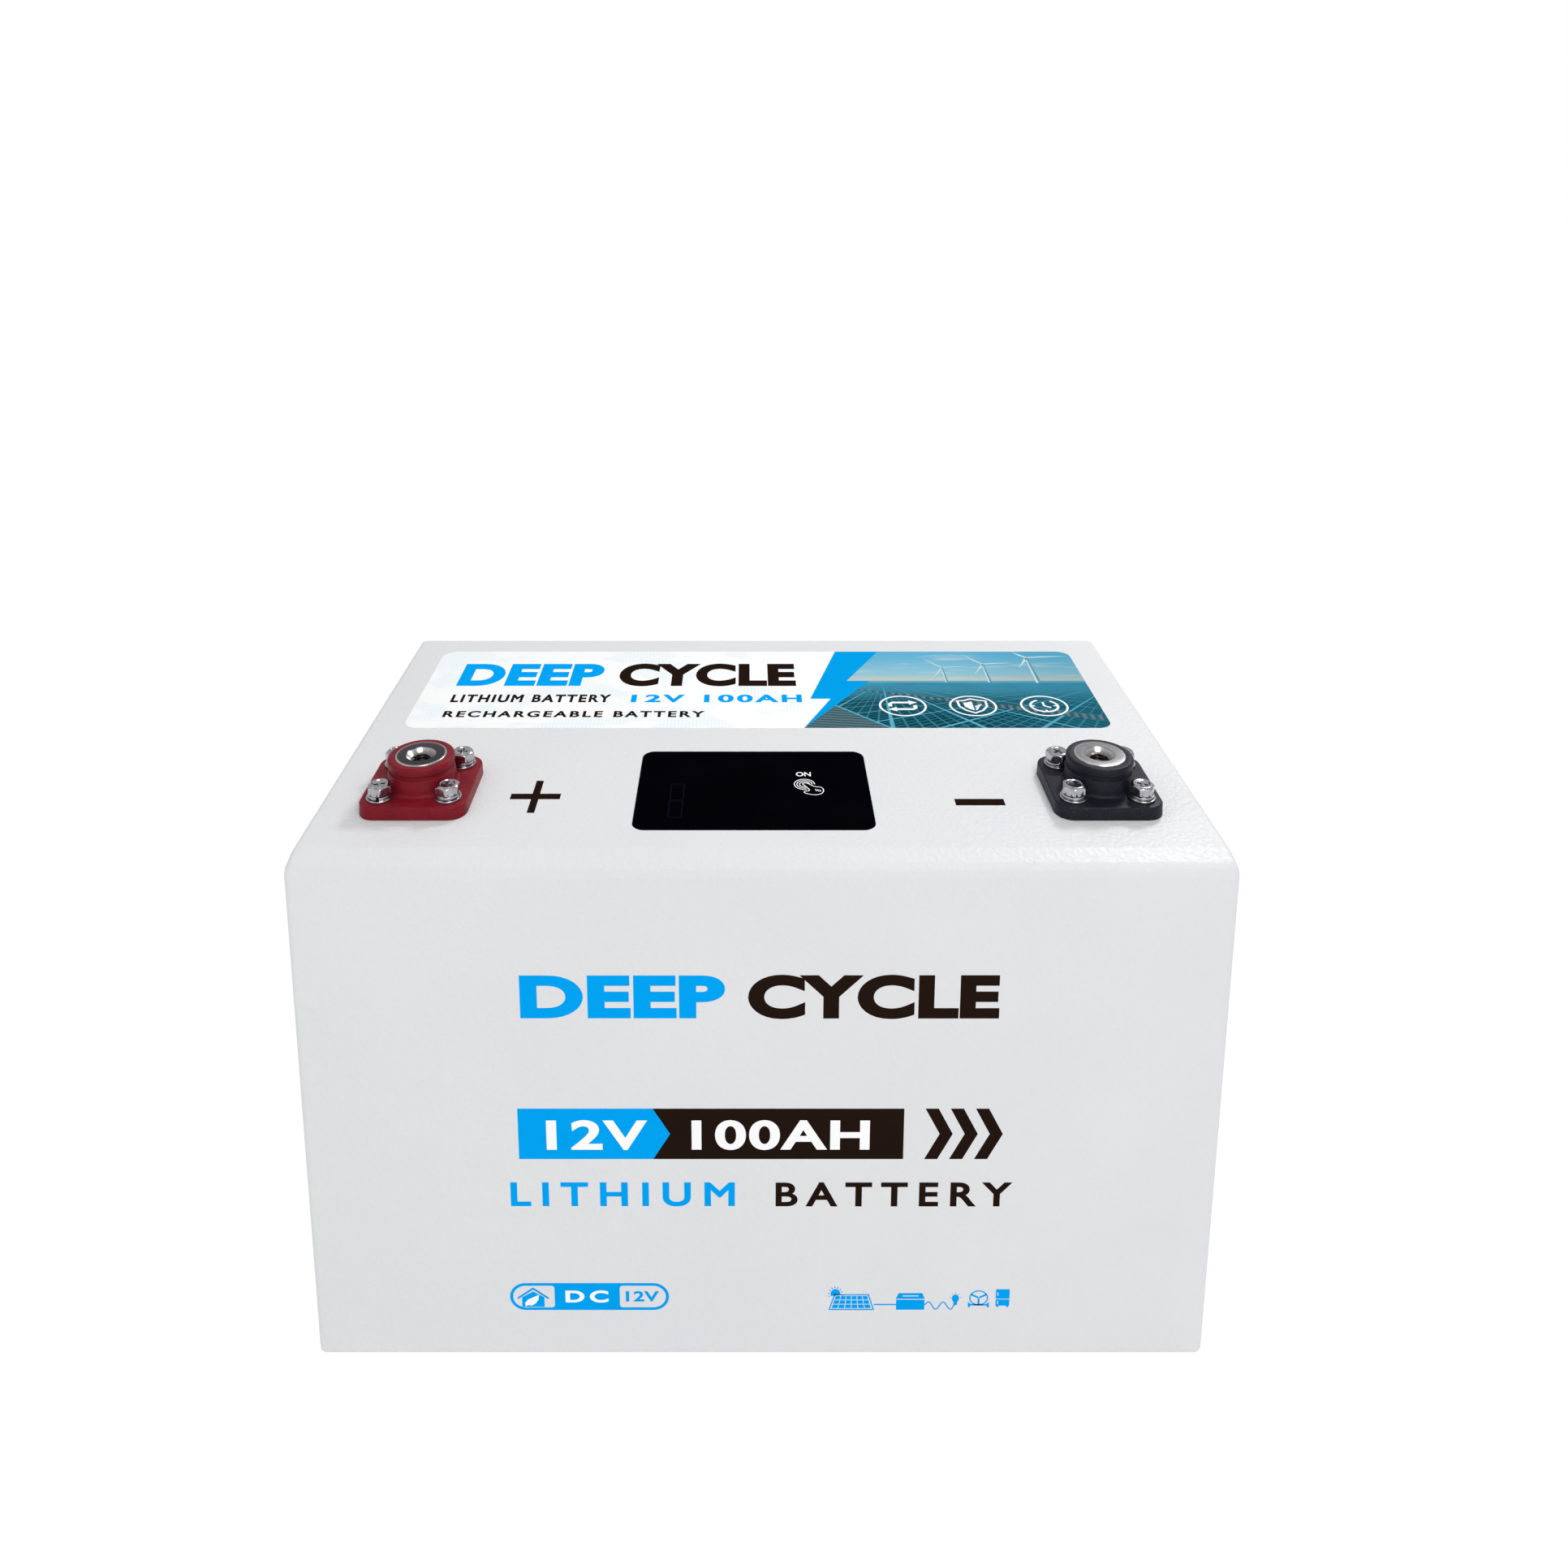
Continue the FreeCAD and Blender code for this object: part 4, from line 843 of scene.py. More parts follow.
def makeInsert(name, node):
    s = insert
    low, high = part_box(node)
    top, bottom = high.z, low.z
    studTop = bottom + s["studLength"]
    ribLow, ribHigh = (caseHigh.z + height for height in s["rib"])
    thread = (s["threadHeight"], s["pitch"])
    rows = [(None, bottom), (s["stud"] - s["studTip"], bottom)]
    count = int(s["studLength"] / s["pitch"] * s["rowsPerTurn"])
    rows += [threadRow(bottom + s["studTip"] + (s["studLength"] - 1.0 * mm) * i / count,
                       s["stud"] - s["threadHeight"], *thread) for i in range(1, count)]
    rows += [(s["stud"] - 0.1 * mm, studTop), (s["radius"] - 0.3 * mm, studTop),
             (s["radius"], studTop + 0.3 * mm), (s["radius"], ribLow), (s["ribRadius"], ribLow),
             (s["ribRadius"], ribHigh), (s["radius"], ribHigh)]
    rows += arc(s["radius"] - s["rim"], top - s["rim"], s["rim"], 0, 90, 4)
    rows += [(s["mouth"] + 0.15 * mm, top), (s["mouth"], top - 0.1 * mm)]
    mouthFoot, boreFoot = top - s["mouthDepth"], top - s["threadDepth"]
    rows.append((s["bore"] + 0.9 * mm, mouthFoot + 0.35 * mm))
    count = int((mouthFoot - boreFoot) / s["pitch"] * s["rowsPerTurn"])
    rows += [threadRow(mouthFoot - (mouthFoot - boreFoot) * i / count, s["bore"], *thread)
             for i in range(count + 1)]
    rows += [(s["bore"], boreFoot - 0.5 * mm), (s["bore"] * 0.6, boreFoot - 1.5 * mm),
             (None, boreFoot - 2.3 * mm)]
    shape = outward(*roundGrid(rows, 96, ((low.x + high.x) / 2, (low.y + high.y) / 2)))
    addPiece(name, *shape, "turnedNickel", [node], 28.0)


makeInsert("positiveInsert", "positive_terminal_insert")
makeInsert("negativeInsert", "negative_terminal_insert")
print("inserts made")


# screws, spring washers and flat washers, one shape each, set down eight times

screw = {
    "flats": 8.0 * mm,
    "head": 3.6 * mm,
    "crown": 0.75 * mm,         # height of the chamfer over the corners
    "rimRadius": 3.55 * mm,
    "dish": 2.75 * mm,
    "dishDepth": 0.35 * mm,
    "recessReach": 2.05 * mm,
    "recessWidth": 1.0 * mm,
    "recessDepth": 2.0 * mm,
    "radius": 2.5 * mm,
    "pitch": 0.8 * mm,
    "threadHeight": 0.40 * mm,
    "tip": 0.7 * mm,
    "turn": 15.0,               # degrees, and each screw stops at its own angle
    "turnStep": 23.0,
}

springWasher = {"outer": 4.4 * mm, "inner": 2.65 * mm, "thick": 1.05 * mm, "rise": 0.25 * mm,
                "gap": 14.0, "gapAngle": 250.0, "edge": 0.12 * mm}
flatWasher = {"outer": 5.0 * mm, "inner": 2.65 * mm, "thick": 1.0 * mm, "edge": 0.22 * mm}


def screwHead(seat):
    s = screw
    half, dish, dishFloor = s["flats"] / 2, s["dish"], seat + s["head"] - s["dishDepth"]
    top, corner = seat + s["head"], half / math.cos(math.pi / 6)

    def hexAt(limit, height):
        def row(angle):
            part = (angle + math.pi / 6) % (math.pi / 3) - math.pi / 6
            return min(half / math.cos(part), limit), height
        return row

    rows = [(None, seat), (s["radius"], seat), hexAt(half - 0.15 * mm, seat),
            hexAt(half + 0.05 * mm, seat + 0.12 * mm), hexAt(corner + mm, seat + 0.45 * mm)]
    flatTop = top - 0.12 * mm
    rows += [hexAt(corner + (s["rimRadius"] - corner) * (i / 6) ** 1.3, flatTop - s["crown"] * (1 - i / 6))
             for i in range(7)]
    rows += arc(s["rimRadius"] - 0.14 * mm, flatTop - 0.02 * mm, 0.14 * mm, 20, 90, 2)
    rows += arc(dish + 0.1 * mm, top - 0.1 * mm, 0.1 * mm, 90, 150, 2)
    rows += [(dish - 0.25 * mm, top - s["dishDepth"] * 0.85), (dish - 0.7 * mm, dishFloor), (None, dishFloor)]
    cuts = []
    reach, width = s["recessReach"], s["recessWidth"]
    sections = ((reach * 0.55, width * 0.36, top - s["recessDepth"]), (reach, width / 2, dishFloor),
                (reach * 1.1, width * 0.625, top + mm))
    for along in (True, False):
        layers = []
        for far, near, height in sections:
            a, b = (far, near) if along else (near, far)
            layers.append((boxLoop(-a, -b, a, b), height))
        cuts.append(stackedOutlines(layers))
    return cut(roundGrid(rows, 96), cuts)


def screwShank(seat, tip):
    s = screw
    count = int((seat - tip) / s["pitch"] * 6)
    rows = [(None, tip), (s["radius"] - s["tip"], tip)]
    for i in range(1, count):
        height = tip + (seat - tip) * i / count
        limit = min(1.0, (height - tip) / s["tip"])
        rows.append(threadRow(height, (s["radius"] - s["threadHeight"]) * (0.8 + 0.2 * limit),
                              s["threadHeight"] * limit, s["pitch"]))
    return outward(*roundGrid(rows + [(s["radius"] - 0.2 * mm, seat), (None, seat)], 24))


def springShape(floor):
    w = springWasher
    section = boxLoop(w["inner"], 0.0, w["outer"], w["thick"], w["edge"], 2)
    steps = 72
    points = []
    for n in range(steps + 1):
        angle = math.radians(w["gapAngle"] + w["gap"] / 2 + (360.0 - w["gap"]) * n / steps)
        rise = floor + w["rise"] * n / steps
        points += [(radius * math.cos(angle), radius * math.sin(angle), rise + height)
                   for radius, height in section]
    return outward(points, bandFaces(steps + 1, len(section)))


def flatShape(floor):
    w = flatWasher
    edge, top = w["edge"], floor + w["thick"]
    rows = arc(w["outer"] - edge, floor + edge, edge, 270, 360, 3)
    rows += arc(w["outer"] - edge, top - edge, edge, 0, 90, 3)
    rows += arc(w["inner"] + edge / 2, top - edge / 2, edge / 2, 90, 180, 2) + [(w["inner"], floor)]
    return outward(*closedGrid(rows, 72))


def setDown(name, node, shapes, turnBy=1.0):
    parts = []
    for i, (x, y) in enumerate(screwCentres):
        turn = math.radians((screw["turn"] + screw["turnStep"] * i) * turnBy)
        c, s = math.cos(turn), math.sin(turn)
        for points, faces in shapes:
            parts.append(([(x + c * px - s * py, y + s * px + c * py, pz) for px, py, pz in points], faces))
    addPiece(name, *joined(parts), "brightZinc", [node], 30.0)


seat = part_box("terminal_spring_washers")[1].z
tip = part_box("terminal_screws")[0].z
setDown("terminalScrews", "terminal_screws", [screwHead(seat), screwShank(seat, tip)])
setDown("springWashers", "terminal_spring_washers", [springShape(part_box("terminal_spring_washers")[0].z)], 1.7)
setDown("flatWashers", "terminal_flat_washers", [flatShape(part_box("terminal_flat_washers")[0].z)])
print("terminal screws and washers made")


# closed-cell foam round the cells: soft blocks with rounded edges and a slightly uneven face

foam = {
    "edge": 1.6 * mm,
    "thinEdge": 0.3 * mm,       # on the thin sheets between the cells
    "cell": 7.0 * mm,           # how finely the faces are divided
    "uneven": 0.22 * mm,
    "wave": 90.0,
    "fill": 1.0,
}
foamNodes = {
    "frontFoam": "front_foam", "backFoam": "back_foam", "leftFoam": "left_foam_block",
    "rightFoam": "right_foam_block", "baseFoam": "base_foam_sheet",
}


def makeFoamBlock(name, node):
    low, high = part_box(node)
    size, middle = high - low, (low + high) / 2
    shape = bmesh.new()
    bmesh.ops.create_cube(shape, size=1.0)
    for vert in shape.verts:
        vert.co = Vector([middle[i] + vert.co[i] * (size[i] - 2 * foam["uneven"]) for i in range(3)])
    bmesh.ops.bevel(shape, geom=shape.edges[:], offset=min(foam["edge"], min(size) * 0.3), segments=3,
                    affect="EDGES", profile=0.5)
    for axis in range(3):
        count = int(size[axis] / foam["cell"])
        normal = Vector([float(i == axis) for i in range(3)])
        for i in range(1, count):
            bmesh.ops.bisect_plane(shape, geom=shape.verts[:] + shape.edges[:] + shape.faces[:], dist=1e-6,
                                   plane_co=normal * (low[axis] + size[axis] * i / count), plane_no=normal)
    shape.normal_update()
    moves = [vert.normal * noise.noise(vert.co * foam["wave"]) * foam["uneven"] for vert in shape.verts]
    shape.verts.index_update()
    points = [tuple(vert.co + move) for vert, move in zip(shape.verts, moves)]
    faces = [tuple(vert.index for vert in face.verts) for face in shape.faces]
    shape.free()
    addPiece(name, points, faces, "closedCellFoam", [node], 50.0)


def makeCellSpacers():
    low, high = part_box("cell_spacers")
    cells = [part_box("cell_%d" % number) for number in (1, 2, 3, 4)]
    edge = foam["thinEdge"]
    parts = []
    for left, right in zip(cells, cells[1:]):
        a, b = left[1].x, right[0].x
        layers = [(boxLoop(low.y + inset, low.z + inset, high.y - inset, high.z - inset), x)
                  for x, inset in ((a, edge), (a + edge, 0.0), (b - edge, 0.0), (b, edge))]
        points, faces = stackedOutlines(layers)
        parts.append(outward([(pz, px, py) for px, py, pz in points], faces))
    piece = addPiece("cellSpacers", *joined(parts), "closedCellFoam", ["cell_spacers"], 50.0)


for name, node in foamNodes.items():
    makeFoamBlock(name, node)
makeCellSpacers()
print("foam made")


# prints: flat shapes in millimetres on a face, raised by the thickness of the ink

inkFaces = {
    "front": lambda u, v, h: (u * mm, caseLow.y - h, v * mm),
    "top": lambda u, v, h: (u * mm, v * mm, caseHigh.z + h),
    "label": lambda u, v, h: (*labelPlace(u * mm, v * mm), labelHigh.z + h),
    "window": lambda u, v, h: (u * mm, v * mm, windowHigh.z + h),
}


def areaOf(loop):
    return sum(a[0] * b[1] - b[0] * a[1] for a, b in zip(loop, loop[1:] + loop[:1])) / 2


def trianglesOf(loops):
    return tessellate_polygon([[Vector((u, v, 0.0)) for u, v in loop] for loop in loops])


def addPrint(name, groups, face, finish, bottom=0.0, top=0.03):
    # each group is a list of closed loops, filled with its holes left open
    parts = []
    for loops in groups:
        flat = [point for loop in loops for point in loop]
        points = [inkFaces[face](u, v, height * mm) for height in (top, bottom) for u, v in flat]
        count, start, sides = len(flat), 0, []
        for a, b, c in trianglesOf(loops):
            if areaOf([flat[a], flat[b], flat[c]]) < 0:
                a, c = c, a
            sides += [(a, b, c), (c + count, b + count, a + count)]
        for loop in loops:
            ring = range(start, start + len(loop))
            sides += [(a, a + count, b + count, b) for a, b in zip(ring, (*ring[1:], start))]
            start += len(loop)
        parts.append(outward(points, sides))
    addPiece(name, *joined(parts), finish, (), 20.0)


def lettering(words, low, high, spacing=1.0, bold=0.0):
    # the outlines of plain upright letters, fitted to the box from low to high
    curve = bpy.data.curves.new("letters", "FONT")
    curve.body, curve.space_character = words, spacing
    curve.resolution_u, curve.fill_mode = 8, "NONE"
    holder = bpy.data.objects.new("letters", curve)
    scene.collection.objects.link(holder)
    bpy.context.view_layer.update()
    mesh = bpy.data.meshes.new_from_object(holder.evaluated_get(bpy.context.evaluated_depsgraph_get()))
    follow = {}
    for edge in mesh.edges:
        for a, b in (edge.vertices, reversed(edge.vertices)):
            follow.setdefault(a, []).append(b)
    loops, seen = [], set()
    for start in range(len(mesh.vertices)):
        loop, here = [], start if start in follow else None
        while here is not None and here not in seen:
            seen.add(here)
            loop.append(tuple(mesh.vertices[here].co[:2]))
            here = next((n for n in follow[here] if n not in seen), None)
        if len(loop) > 2:
            loops.append(thinned(loop))
    bpy.data.objects.remove(holder)
    groups = nested(loops, bold)
    us, vs = zip(*(point for loops in groups for loop in loops for point in loop))
    ku, kv = (high[0] - low[0]) / (max(us) - min(us)), (high[1] - low[1]) / (max(vs) - min(vs))
    return [[[(low[0] + (u - min(us)) * ku, low[1] + (v - min(vs)) * kv) for u, v in loop] for loop in loops]
            for loops in groups]


def thinned(loop, least=0.004):
    # points nearer than this upset the fill
    kept = loop[:1]
    for point in loop[1:]:
        if math.dist(point, kept[-1]) > least:
            kept.append(point)
    return kept[:-1] if math.dist(kept[0], kept[-1]) < least else kept


def holds(loop, point):
    u, v = point
    inside = False
    for (a, b), (c, d) in zip(loop, loop[1:] + loop[:1]):
        if (b > v) != (d > v) and u < (c - a) * (v - b) / (d - b) + a:
            inside = not inside
    return inside


def nested(loops, bold):
    # one group for each outer loop with its holes, every edge moved out by bold to thicken the strokes
    groups = []
    for loop in sorted(loops, key=lambda loop: -abs(areaOf(loop))):
        owner = next((group for group in groups if holds(group[0], loop[0])), None)
        if (areaOf(loop) > 0) == (owner is not None):
            loop = loop[::-1]
        if owner is None:
            groups.append([loop])
        else:
            owner.append(loop)
    return [thickened(group, bold) for group in groups]


def thickened(group, bold):
    # strokes thickened as far as the letter can take before its edges cross
    while bold > 0.001:
        moved = [shifted(loop, bold) for loop in group]
        flat = [point for loop in moved for point in loop]
        filled = sum(abs(areaOf([flat[i] for i in corner])) for corner in trianglesOf(moved))
        if abs(filled - sum(areaOf(loop) for loop in moved)) < 0.0005 * filled:
            return moved
        bold *= 0.85
    return group


def shifted(loop, amount):
    moved = []
    for before, point, after in zip(loop[-1:] + loop[:-1], loop, loop[1:] + loop[:1]):
        one = (Vector(point) - Vector(before)).normalized()
        two = (Vector(after) - Vector(point)).normalized()
        normal = Vector((one.y + two.y, -one.x - two.x))
        if normal.length < 1e-6:
            moved.append(point)
            continue
        normal.normalize()
        grow = amount / max(0.45, normal.dot(Vector((one.y, -one.x))))
        moved.append((point[0] + normal.x * grow, point[1] + normal.y * grow))
    return moved


def stroke(points, width, closed=False):
    # a line of even width along points, as one loop, or two when it is closed
    half = width / 2
    if closed:
        ring = points if areaOf(points) > 0 else points[::-1]
        return [shifted(ring, half), shifted(ring, -half)[::-1]]
    left, right = [], []
    for i, point in enumerate(points):
        run = (Vector(points[min(len(points) - 1, i + 1)]) - Vector(points[max(0, i - 1)])).normalized()
        normal = Vector((-run.y, run.x)) * half
        left.append((point[0] + normal.x, point[1] + normal.y))
        right.append((point[0] - normal.x, point[1] - normal.y))
    return [right + left[::-1]]


def oval(u, v, wide, steps, tall=None):
    return arc(u, v, wide, 0, 360, steps, tall)[:-1]


def around(middle, points, scale=(1.0, 1.0)):
    # points given from a middle
    return [(middle[0] + u * scale[0], middle[1] + v * scale[1]) for u, v in points]


def spokes(middle, inner, outer, angles, width, pointed=False):
    # short strokes, or spikes, from an inner oval to an outer one
    shapes = []
    for angle in angles:
        c, s = math.cos(math.radians(angle)), math.sin(math.radians(angle))
        foot, tip = around(middle, [(inner[0] * c, inner[1] * s), (outer[0] * c, outer[1] * s)])
        w = width / 2
        spike = around(foot, [(-w * s, w * c), (w * s, -w * c)]) + [tip]
        shapes.append([spike] if pointed else stroke([foot, tip], width))
    return shapes


# front of the case; each line of words has its box, letter spacing and boldness

frontPrint = {
    "headingBlue": ("DEEP", (-84.9, 145.1), (-12.8, 162.0), 1.06, 0.050),
    "headingDark": ("CYCLE", (-4.7, 144.8), (83.6, 162.3), 1.06, 0.050),
    "bar": (-87.3, 87.6, 51.2, 108.5),
    "arrow": (-38.9, -32.7),
    "volts": ("12V", (-77.2, 91.4), (-40.9, 103.8), 1.10, 0.030),
    "ampHours": ("100AH", (-25.0, 91.4), (39.0, 103.8), 1.10, 0.030),
    "chevrons": (58.8, 67.8, 76.8),
    "chevronReach": 5.3,
    "chevronWidth": 4.7,
    "lineBlue": ("LITHIUM", (-90.9, 67.6), (-9.5, 77.8), 1.45, 0.026),
    "lineDark": ("BATTERY", (5.3, 67.6), (91.1, 77.8), 1.45, 0.026),
    "pill": (-92.7, 22.7, -33.9, 34.5),
    "pillStroke": 1.15,
    "pillParts": (-76.2, -52.1),
    "pillText": ("DC", (-72.2, 26.0), (-56.3, 31.3), 1.35, 0.035),
    "pillVolts": ("12V", (-49.9, 26.4), (-37.6, 31.0), 1.05, 0.03),
    "house": [(-88.3, 24.1), (-80.0, 24.1), (-80.0, 28.3), (-84.1, 30.8), (-88.3, 28.3)],
    "roof": [(-90.1, 28.1), (-84.1, 32.6), (-78.3, 28.1), (-78.7, 27.5), (-84.1, 31.6), (-89.7, 27.5)],
    "leaf": [(-87.0, 24.2), (-87.2, 25.8), (-86.1, 27.3), (-84.3, 28.2), (-82.0, 29.4), (-82.2, 27.4),
             (-83.2, 25.7), (-84.7, 24.7), (-86.3, 24.9)],
}

pictogramRow = {
    "line": 0.5,
    "sun": (27.6, 29.7),
    "panel": [(25.4, 22.9), (41.7, 22.9), (39.8, 29.4), (27.3, 29.4)],
    "wire": (41.8, 24.8, 50.1, 25.35),
    "lid": [(49.9, 27.6), (60.7, 27.6), (59.7, 30.1), (51.0, 30.1)],
    "lidBar": (52.4, 28.65, 58.4, 29.1),
    "box": (50.1, 22.8, 60.6, 27.2),
    "lead": ((60.6, 25.1), (62.1, 26.3), (64.8, 23.0), (67.5, 26.2), (70.3, 23.0), (71.9, 25.0)),
    "bulb": (72.0, 27.8),
    "wheel": (80.6, 28.0),
    "wheelReach": (3.5, 3.3),
    "stand": [(-3.9, -4.1), (-3.1, -4.1), (-3.1, -3.4), (3.1, -3.4), (3.1, -4.1), (3.9, -4.1), (3.9, -1.7),
              (2.9, -2.7), (-2.9, -2.7), (-3.9, -1.7)],
    "fridge": (86.9, 24.6, 92.0, 31.8),
    "fridgeSplit": 27.5,
}


def makeFrontPrint():
    f = frontPrint
    u0, v0, u1, v1 = f["bar"]
    foot, tip = f["arrow"]
    middle = (v0 + v1) / 2
    blue, dark = lettering(*f["headingBlue"]), lettering(*f["headingDark"])
    blue.append([[(u0, v0), (foot, v0), (tip, middle), (foot, v1), (u0, v1)]])
    dark.append([[(foot, v0), (u1, v0), (u1, v1), (foot, v1), (tip, middle)]])
    white = lettering(*f["volts"]) + lettering(*f["ampHours"])
    reach, width = f["chevronReach"], f["chevronWidth"]
    for u in f["chevrons"]:
        dark.append([[(u, v0), (u + width, v0), (u + width + reach, middle), (u + width, v1), (u, v1),
                      (u + reach, middle)]])
    blue += lettering(*f["lineBlue"]) + pillShapes() + pictograms()
    dark += lettering(*f["lineDark"])
    white += lettering(*f["pillText"])
    addPrint("frontPrintBlue", blue, "front", "blueInk")
    addPrint("frontPrintDark", dark, "front", "darkInk")
    addPrint("frontPrintWhite", white, "front", "whiteInk", 0.03, 0.05)
    addPrint("frontPrintLeaf", [[f["leaf"]]], "front", "whiteInk", 0.03, 0.05)


def pillShapes():
    f = frontPrint
    u0, v0, u1, v1 = f["pill"]
    w = f["pillStroke"]
    outer = boxLoop(u0, v0, u1, v1, (v1 - v0) / 2 - 0.01, 12)
    holes = [roundedEnd(u0 + w, v0 + w, f["pillParts"][0], v1 - w, True),
             roundedEnd(f["pillParts"][1], v0 + w, u1 - w, v1 - w, False)]
    return [[outer] + [hole[::-1] for hole in holes], [f["house"]], [f["roof"]]] + lettering(*f["pillVolts"])


def roundedEnd(u0, v0, u1, v1, left, small=1.1):
    # a box whose outer end is a half circle and whose inner corners are small rounds
    big = (v1 - v0) / 2 - 0.01
    leftEnd, rightEnd = (big, small) if left else (small, big)
    loop = arc(u1 - rightEnd, v1 - rightEnd, rightEnd, 0, 90, 8)
    loop += arc(u0 + leftEnd, v1 - leftEnd, leftEnd, 90, 180, 8)
    loop += arc(u0 + leftEnd, v0 + leftEnd, leftEnd, 180, 270, 8)
    return loop + arc(u1 - rightEnd, v0 + rightEnd, rightEnd, 270, 360, 8)


def pictograms():
    # sun and panel, battery, a wavy lead, lamp, wheel and fridge
    p = pictogramRow
    ink = p["line"]
    shapes = [[arc(*p["sun"], 1.8, -8, 204, 20, 2.2)]]
    shapes += spokes(p["sun"], (2.15, 2.6), (2.95, 3.6), range(-8, 201, 26), 0.55, True)
    (left, low), (right, low), (highRight, high), (highLeft, high) = p["panel"]
    shapes.append(stroke(p["panel"], ink, True))

    def onPanel(share, rise):
        foot, head = left + (right - left) * share, highLeft + (highRight - highLeft) * share
        return foot + (head - foot) * rise, low + (high - low) * rise

    for column in range(6):
        for row in range(3):
            a, c = 0.045 + column * 0.154, 0.09 + row * 0.29
            shapes.append([[onPanel(*corner) for corner in boxLoop(a, c, a + 0.137, c + 0.245)]])
    shapes += [[boxLoop(*p["wire"])], [p["lid"], boxLoop(*p["lidBar"])[::-1]], [boxLoop(*p["box"], 0.3, 3)]]
    wave = [(u0 + (u1 - u0) * i / 8, v0 + (v1 - v0) * (1 - math.cos(math.pi * i / 8)) / 2)
            for (u0, v0), (u1, v1) in zip(p["lead"], p["lead"][1:]) for i in range(8)]
    shapes.append(stroke(wave + [p["lead"][-1]], ink))
    shapes.append([arc(*p["bulb"], 1.35, -55, 235, 20, 1.7) + around(p["bulb"], [(-0.6, -2.9), (0.6, -2.9)])])
    shapes += spokes(p["bulb"], (1.75, 2.2), (2.3, 2.9), range(10, 171, 40), 0.36, True)
    wide, tall = p["wheelReach"]
    shapes.append([oval(*p["wheel"], wide, 36, tall), oval(*p["wheel"], wide - ink, 36, tall - ink)[::-1]])
    shapes += spokes(p["wheel"], (0.2, 0.2), (wide - 0.3, tall - 0.3), (-90, 30, 150), 0.75)
    shapes.append([around(p["wheel"], p["stand"])])
    u0, v0, u1, v1 = p["fridge"]
    for low, high in ((v0, p["fridgeSplit"] - 0.15), (p["fridgeSplit"] + 0.15, v1)):
        middle = (low + high) / 2
        shapes.append([boxLoop(u0, low, u1, high, 0.2, 2),
                       boxLoop(u0 + 0.6, middle - 0.7, u0 + 0.95, middle + 0.7)[::-1]])
    return shapes + [[boxLoop(u, v0 - 0.6, u + 0.9, v0)] for u in (u0 + 0.3, u1 - 1.2)]


makeFrontPrint()
print("front prints made")


# signs beside the terminals, and what shows through the display window

signs = {
    "plus": (-84.9, -52.8), "plusArm": (9.4, 11.7), "plusWidth": (2.8, 4.0),
    "minus": (72.8, -59.2, 91.3, -54.6),
}
plusCorners = [(-1, 0), (1, 0), (1, 1), (2, 1), (2, 2), (1, 2), (1, 3), (-1, 3), (-1, 2), (-2, 2),
               (-2, 1), (-1, 1)]

windowPrint = {
    "on": ("ON", (14.0, -38.2), (19.8, -34.9), 1.0, 0.02),
    "ripple": (17.0, -44.3),
    "rippleRadii": (3.9, 2.9, 1.9),
    "finger": [(-0.6, 0.9), (0.5, 1.5), (1.6, 0.6), (4.6, -2.4), (7.0, -2.2), (8.2, -4.6), (7.6, -8.0),
               (4.6, -9.6), (1.0, -8.6), (-0.6, -7.2), (-0.2, -6.2), (2.6, -5.6), (-0.4, -0.4), (-1.0, 0.4)],
    "fingerScale": (0.88, 0.84),
    "segments": ((-34.0, -55.9, -29.1, -44.2), (-34.1, -68.1, -29.2, -56.7)),
    "line": 0.36,
}


def makeSigns():
    (au, av), (wu, wv) = signs["plusArm"], (width / 2 for width in signs["plusWidth"])
    us, vs = {-2: -au, -1: -wu, 1: wu, 2: au}, (-av, -wv, wv, av)
    plus = around(signs["plus"], [(us[u], vs[v]) for u, v in plusCorners])
    addPrint("polaritySigns", [[plus], [boxLoop(*signs["minus"])]], "top", "darkInk")


def makeWindowPrint():
    w = windowPrint
    shapes = lettering(*w["on"])
    shapes += [stroke(arc(*w["ripple"], radius, 0, 282, 40), w["line"]) for radius in w["rippleRadii"]]
    shapes.append(stroke(softened(around(w["ripple"], w["finger"], w["fingerScale"])), w["line"], True))
    for i in range(3):
        knuckle = [(4.0 + i * 0.8, -3.6 - i * 0.25), (4.4 + i * 0.8, -5.0 - i * 0.2)]
        shapes.append(stroke(around(w["ripple"], knuckle), w["line"]))
    addPrint("windowPrint", shapes, "window", "whiteInk", 0.0, 0.02)
    outlines = [stroke(boxLoop(*box), 0.35, True) for box in w["segments"]]
    addPrint("chargeSegments", outlines, "window", "segmentInk", 0.0, 0.02)


def softened(loop, rounds=2):
    for again in range(rounds):
        loop = [(a[0] * near + b[0] * (1 - near), a[1] * near + b[1] * (1 - near))
                for a, b in zip(loop, loop[1:] + loop[:1]) for near in (0.75, 0.25)]
    return loop


makeSigns()
makeWindowPrint()


# the label's artwork

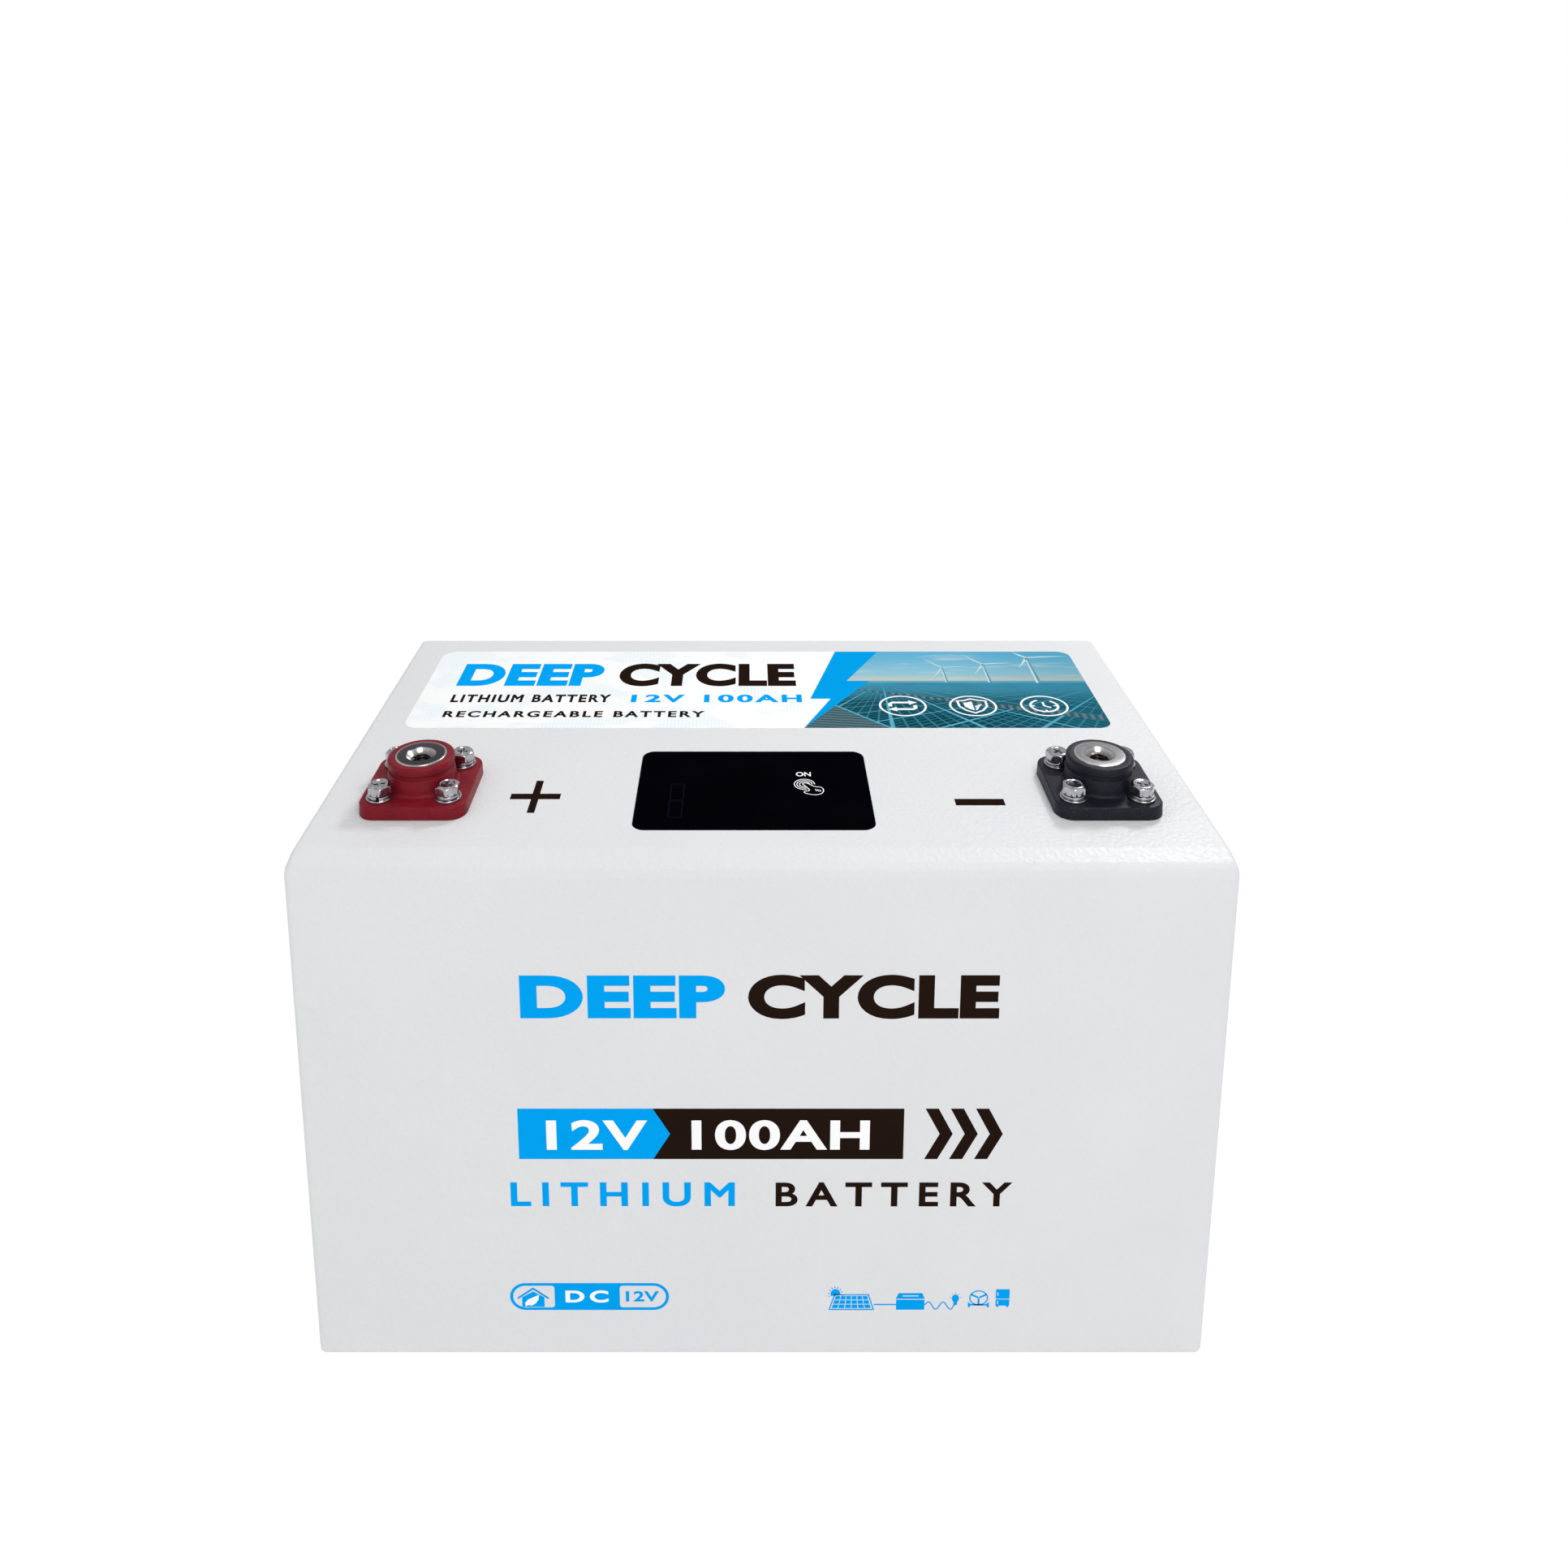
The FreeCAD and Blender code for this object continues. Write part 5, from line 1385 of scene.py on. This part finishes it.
labelArt = {
    "bolt": [(36.6, 87.0), (22.2, 33.1), (31.2, 33.1), (18.3, 4.0), (50.1, 52.5), (39.7, 52.5), (57.1, 87.0)],
    "right": 148.5, "low": 4.0, "high": 87.0, "corner": 6.0,
    "headingBlue": ("DEEP", (-137.5, 47.0), (-72.0, 72.0), 1.06, 0.050),
    "headingDark": ("CYCLE", (-64.5, 46.6), (16.5, 72.4), 1.06, 0.050),
    "lineDark": ("LITHIUM BATTERY", (-136.5, 29.4), (-66.0, 37.6), 1.25, 0.040),
    "lineBlue": ("12V 100AH", (-57.0, 29.4), (18.5, 37.6), 1.25, 0.040),
    "lineLow": ("RECHARGEABLE BATTERY", (-136.6, 14.4), (-24.0, 20.6), 1.3, 0.035),
    "rings": (62.3, 93.0, 124.1),
    "ringHeight": 25.8,
    "ringRadius": 10.4,
    "ringLine": 0.95,
    "arrow": [(-5.4, -0.6), (-5.4, 2.2), (-4.2, 3.4), (3.0, 3.4)],
    "arrowHead": [(2.9, 5.6), (2.9, 1.2), (6.6, 3.4)],
    "shield": [(0.0, 7.2), (3.0, 5.6), (6.2, 5.0), (6.0, -0.5), (3.6, -4.6), (0.0, -7.2), (-3.6, -4.6),
               (-6.0, -0.5), (-6.2, 5.0), (-3.0, 5.6)],
    "turbines": ((85.3, 67.5, 50.9, 0.62), (105.0, 71.5, 50.9, 0.78), (127.0, 79.0, 50.2, 1.0)),
}


def makeLabelArt():
    art = labelArt
    bolt, low = art["bolt"], art["low"]
    view = boxLoop(0.0, low, art["right"], art["high"], art["corner"], 8)
    region = view[27:36] + view[0:9] + [bolt[6], bolt[5], bolt[4], (bolt[3][0], low)]
    dark = lettering(*art["headingDark"]) + lettering(*art["lineDark"]) + lettering(*art["lineLow"])
    addPrint("labelPicture", [[region]], "label", "labelPicture", 0.0, 0.02)
    addPrint("labelBolt", [[bolt[::-1]]], "label", "boltInk", 0.0, 0.02)
    addPrint("labelPrintBlue", lettering(*art["headingBlue"]) + lettering(*art["lineBlue"]), "label", "blueInk",
             0.0, 0.02)
    addPrint("labelPrintDark", dark, "label", "darkInk", 0.0, 0.02)


def makeRings():
    art = labelArt
    radius = art["ringRadius"]
    middles = [(u, art["ringHeight"]) for u in art["rings"]]
    groups = [[oval(*middle, radius, 64), oval(*middle, radius - art["ringLine"], 64)[::-1]]
              for middle in middles]
    for flip in ((1, 1), (-1, -1)):
        groups.append(stroke(around(middles[0], art["arrow"], flip), 1.7))
        groups.append([around(middles[0], art["arrowHead"], flip)])
    groups.append(stroke(around(middles[1], art["shield"]), 1.0, True))
    groups.append([[point for point in around(middles[1], art["shield"], (0.62, 0.62))
                    if point[0] <= middles[1][0] + 0.01]])
    for low, reach in ((-1.0, 3.2), (-2.6, 2.3), (-4.2, 1.4)):
        groups.append(stroke(around(middles[1], [(0.8, low), (0.8 + reach, low + 2.6)]), 0.7))
    groups.append(stroke(arc(*middles[2], 5.9, 110, 415, 40), 1.1))
    groups.append(stroke(around(middles[2], [(0.0, 3.6), (0.0, 0.0), (2.6, -1.8)]), 1.1))
    groups += spokes(middles[2], (4.1, 4.1), (5.3, 5.3), (0, 180, 270), 0.9)
    addPrint("labelRings", groups, "label", "whiteInk", 0.02, 0.04)


def makeTurbines():
    light, shade = [], []
    top = labelArt["high"]
    for u, hub, foot, scale in labelArt["turbines"]:
        wide, slim = 1.15 * scale, 0.6 * scale
        light.append([[(u - wide, foot), (u, foot), (u, hub), (u - slim, hub)]])
        shade.append([[(u, foot), (u + wide, foot), (u + slim, hub), (u, hub)]])
        light.append([oval(u, hub + 0.6 * scale, scale, 16)])
        for angle in (125, 5, 245):
            c, s = math.cos(math.radians(angle)), math.sin(math.radians(angle))
            reach = 20.0 * scale if angle == 5 else min(13.0, 21.5 * scale)
            if angle == 125:
                reach = min(reach, (top - 0.4 - hub) / s)
            # along the blade and across it, from its root
            blade = [(0.0, 0.6), (0.3 * reach, 1.05), (reach, 0.0), (0.3 * reach, -0.36), (0.0, -0.6)]
            blade = around((u + scale * c, hub + 0.6 * scale + scale * s),
                           [(a * c - b * scale * s, a * s + b * scale * c) for a, b in blade])
            light.append([[(a, min(b, top - 0.2)) for a, b in blade]])
    addPrint("labelTurbines", light, "label", "turbineInk", 0.02, 0.03)
    addPrint("labelTowerShade", shade, "label", "turbineShade", 0.02, 0.03)


makeLabelArt()
makeRings()
makeTurbines()
print("label artwork made")

makeFloor()
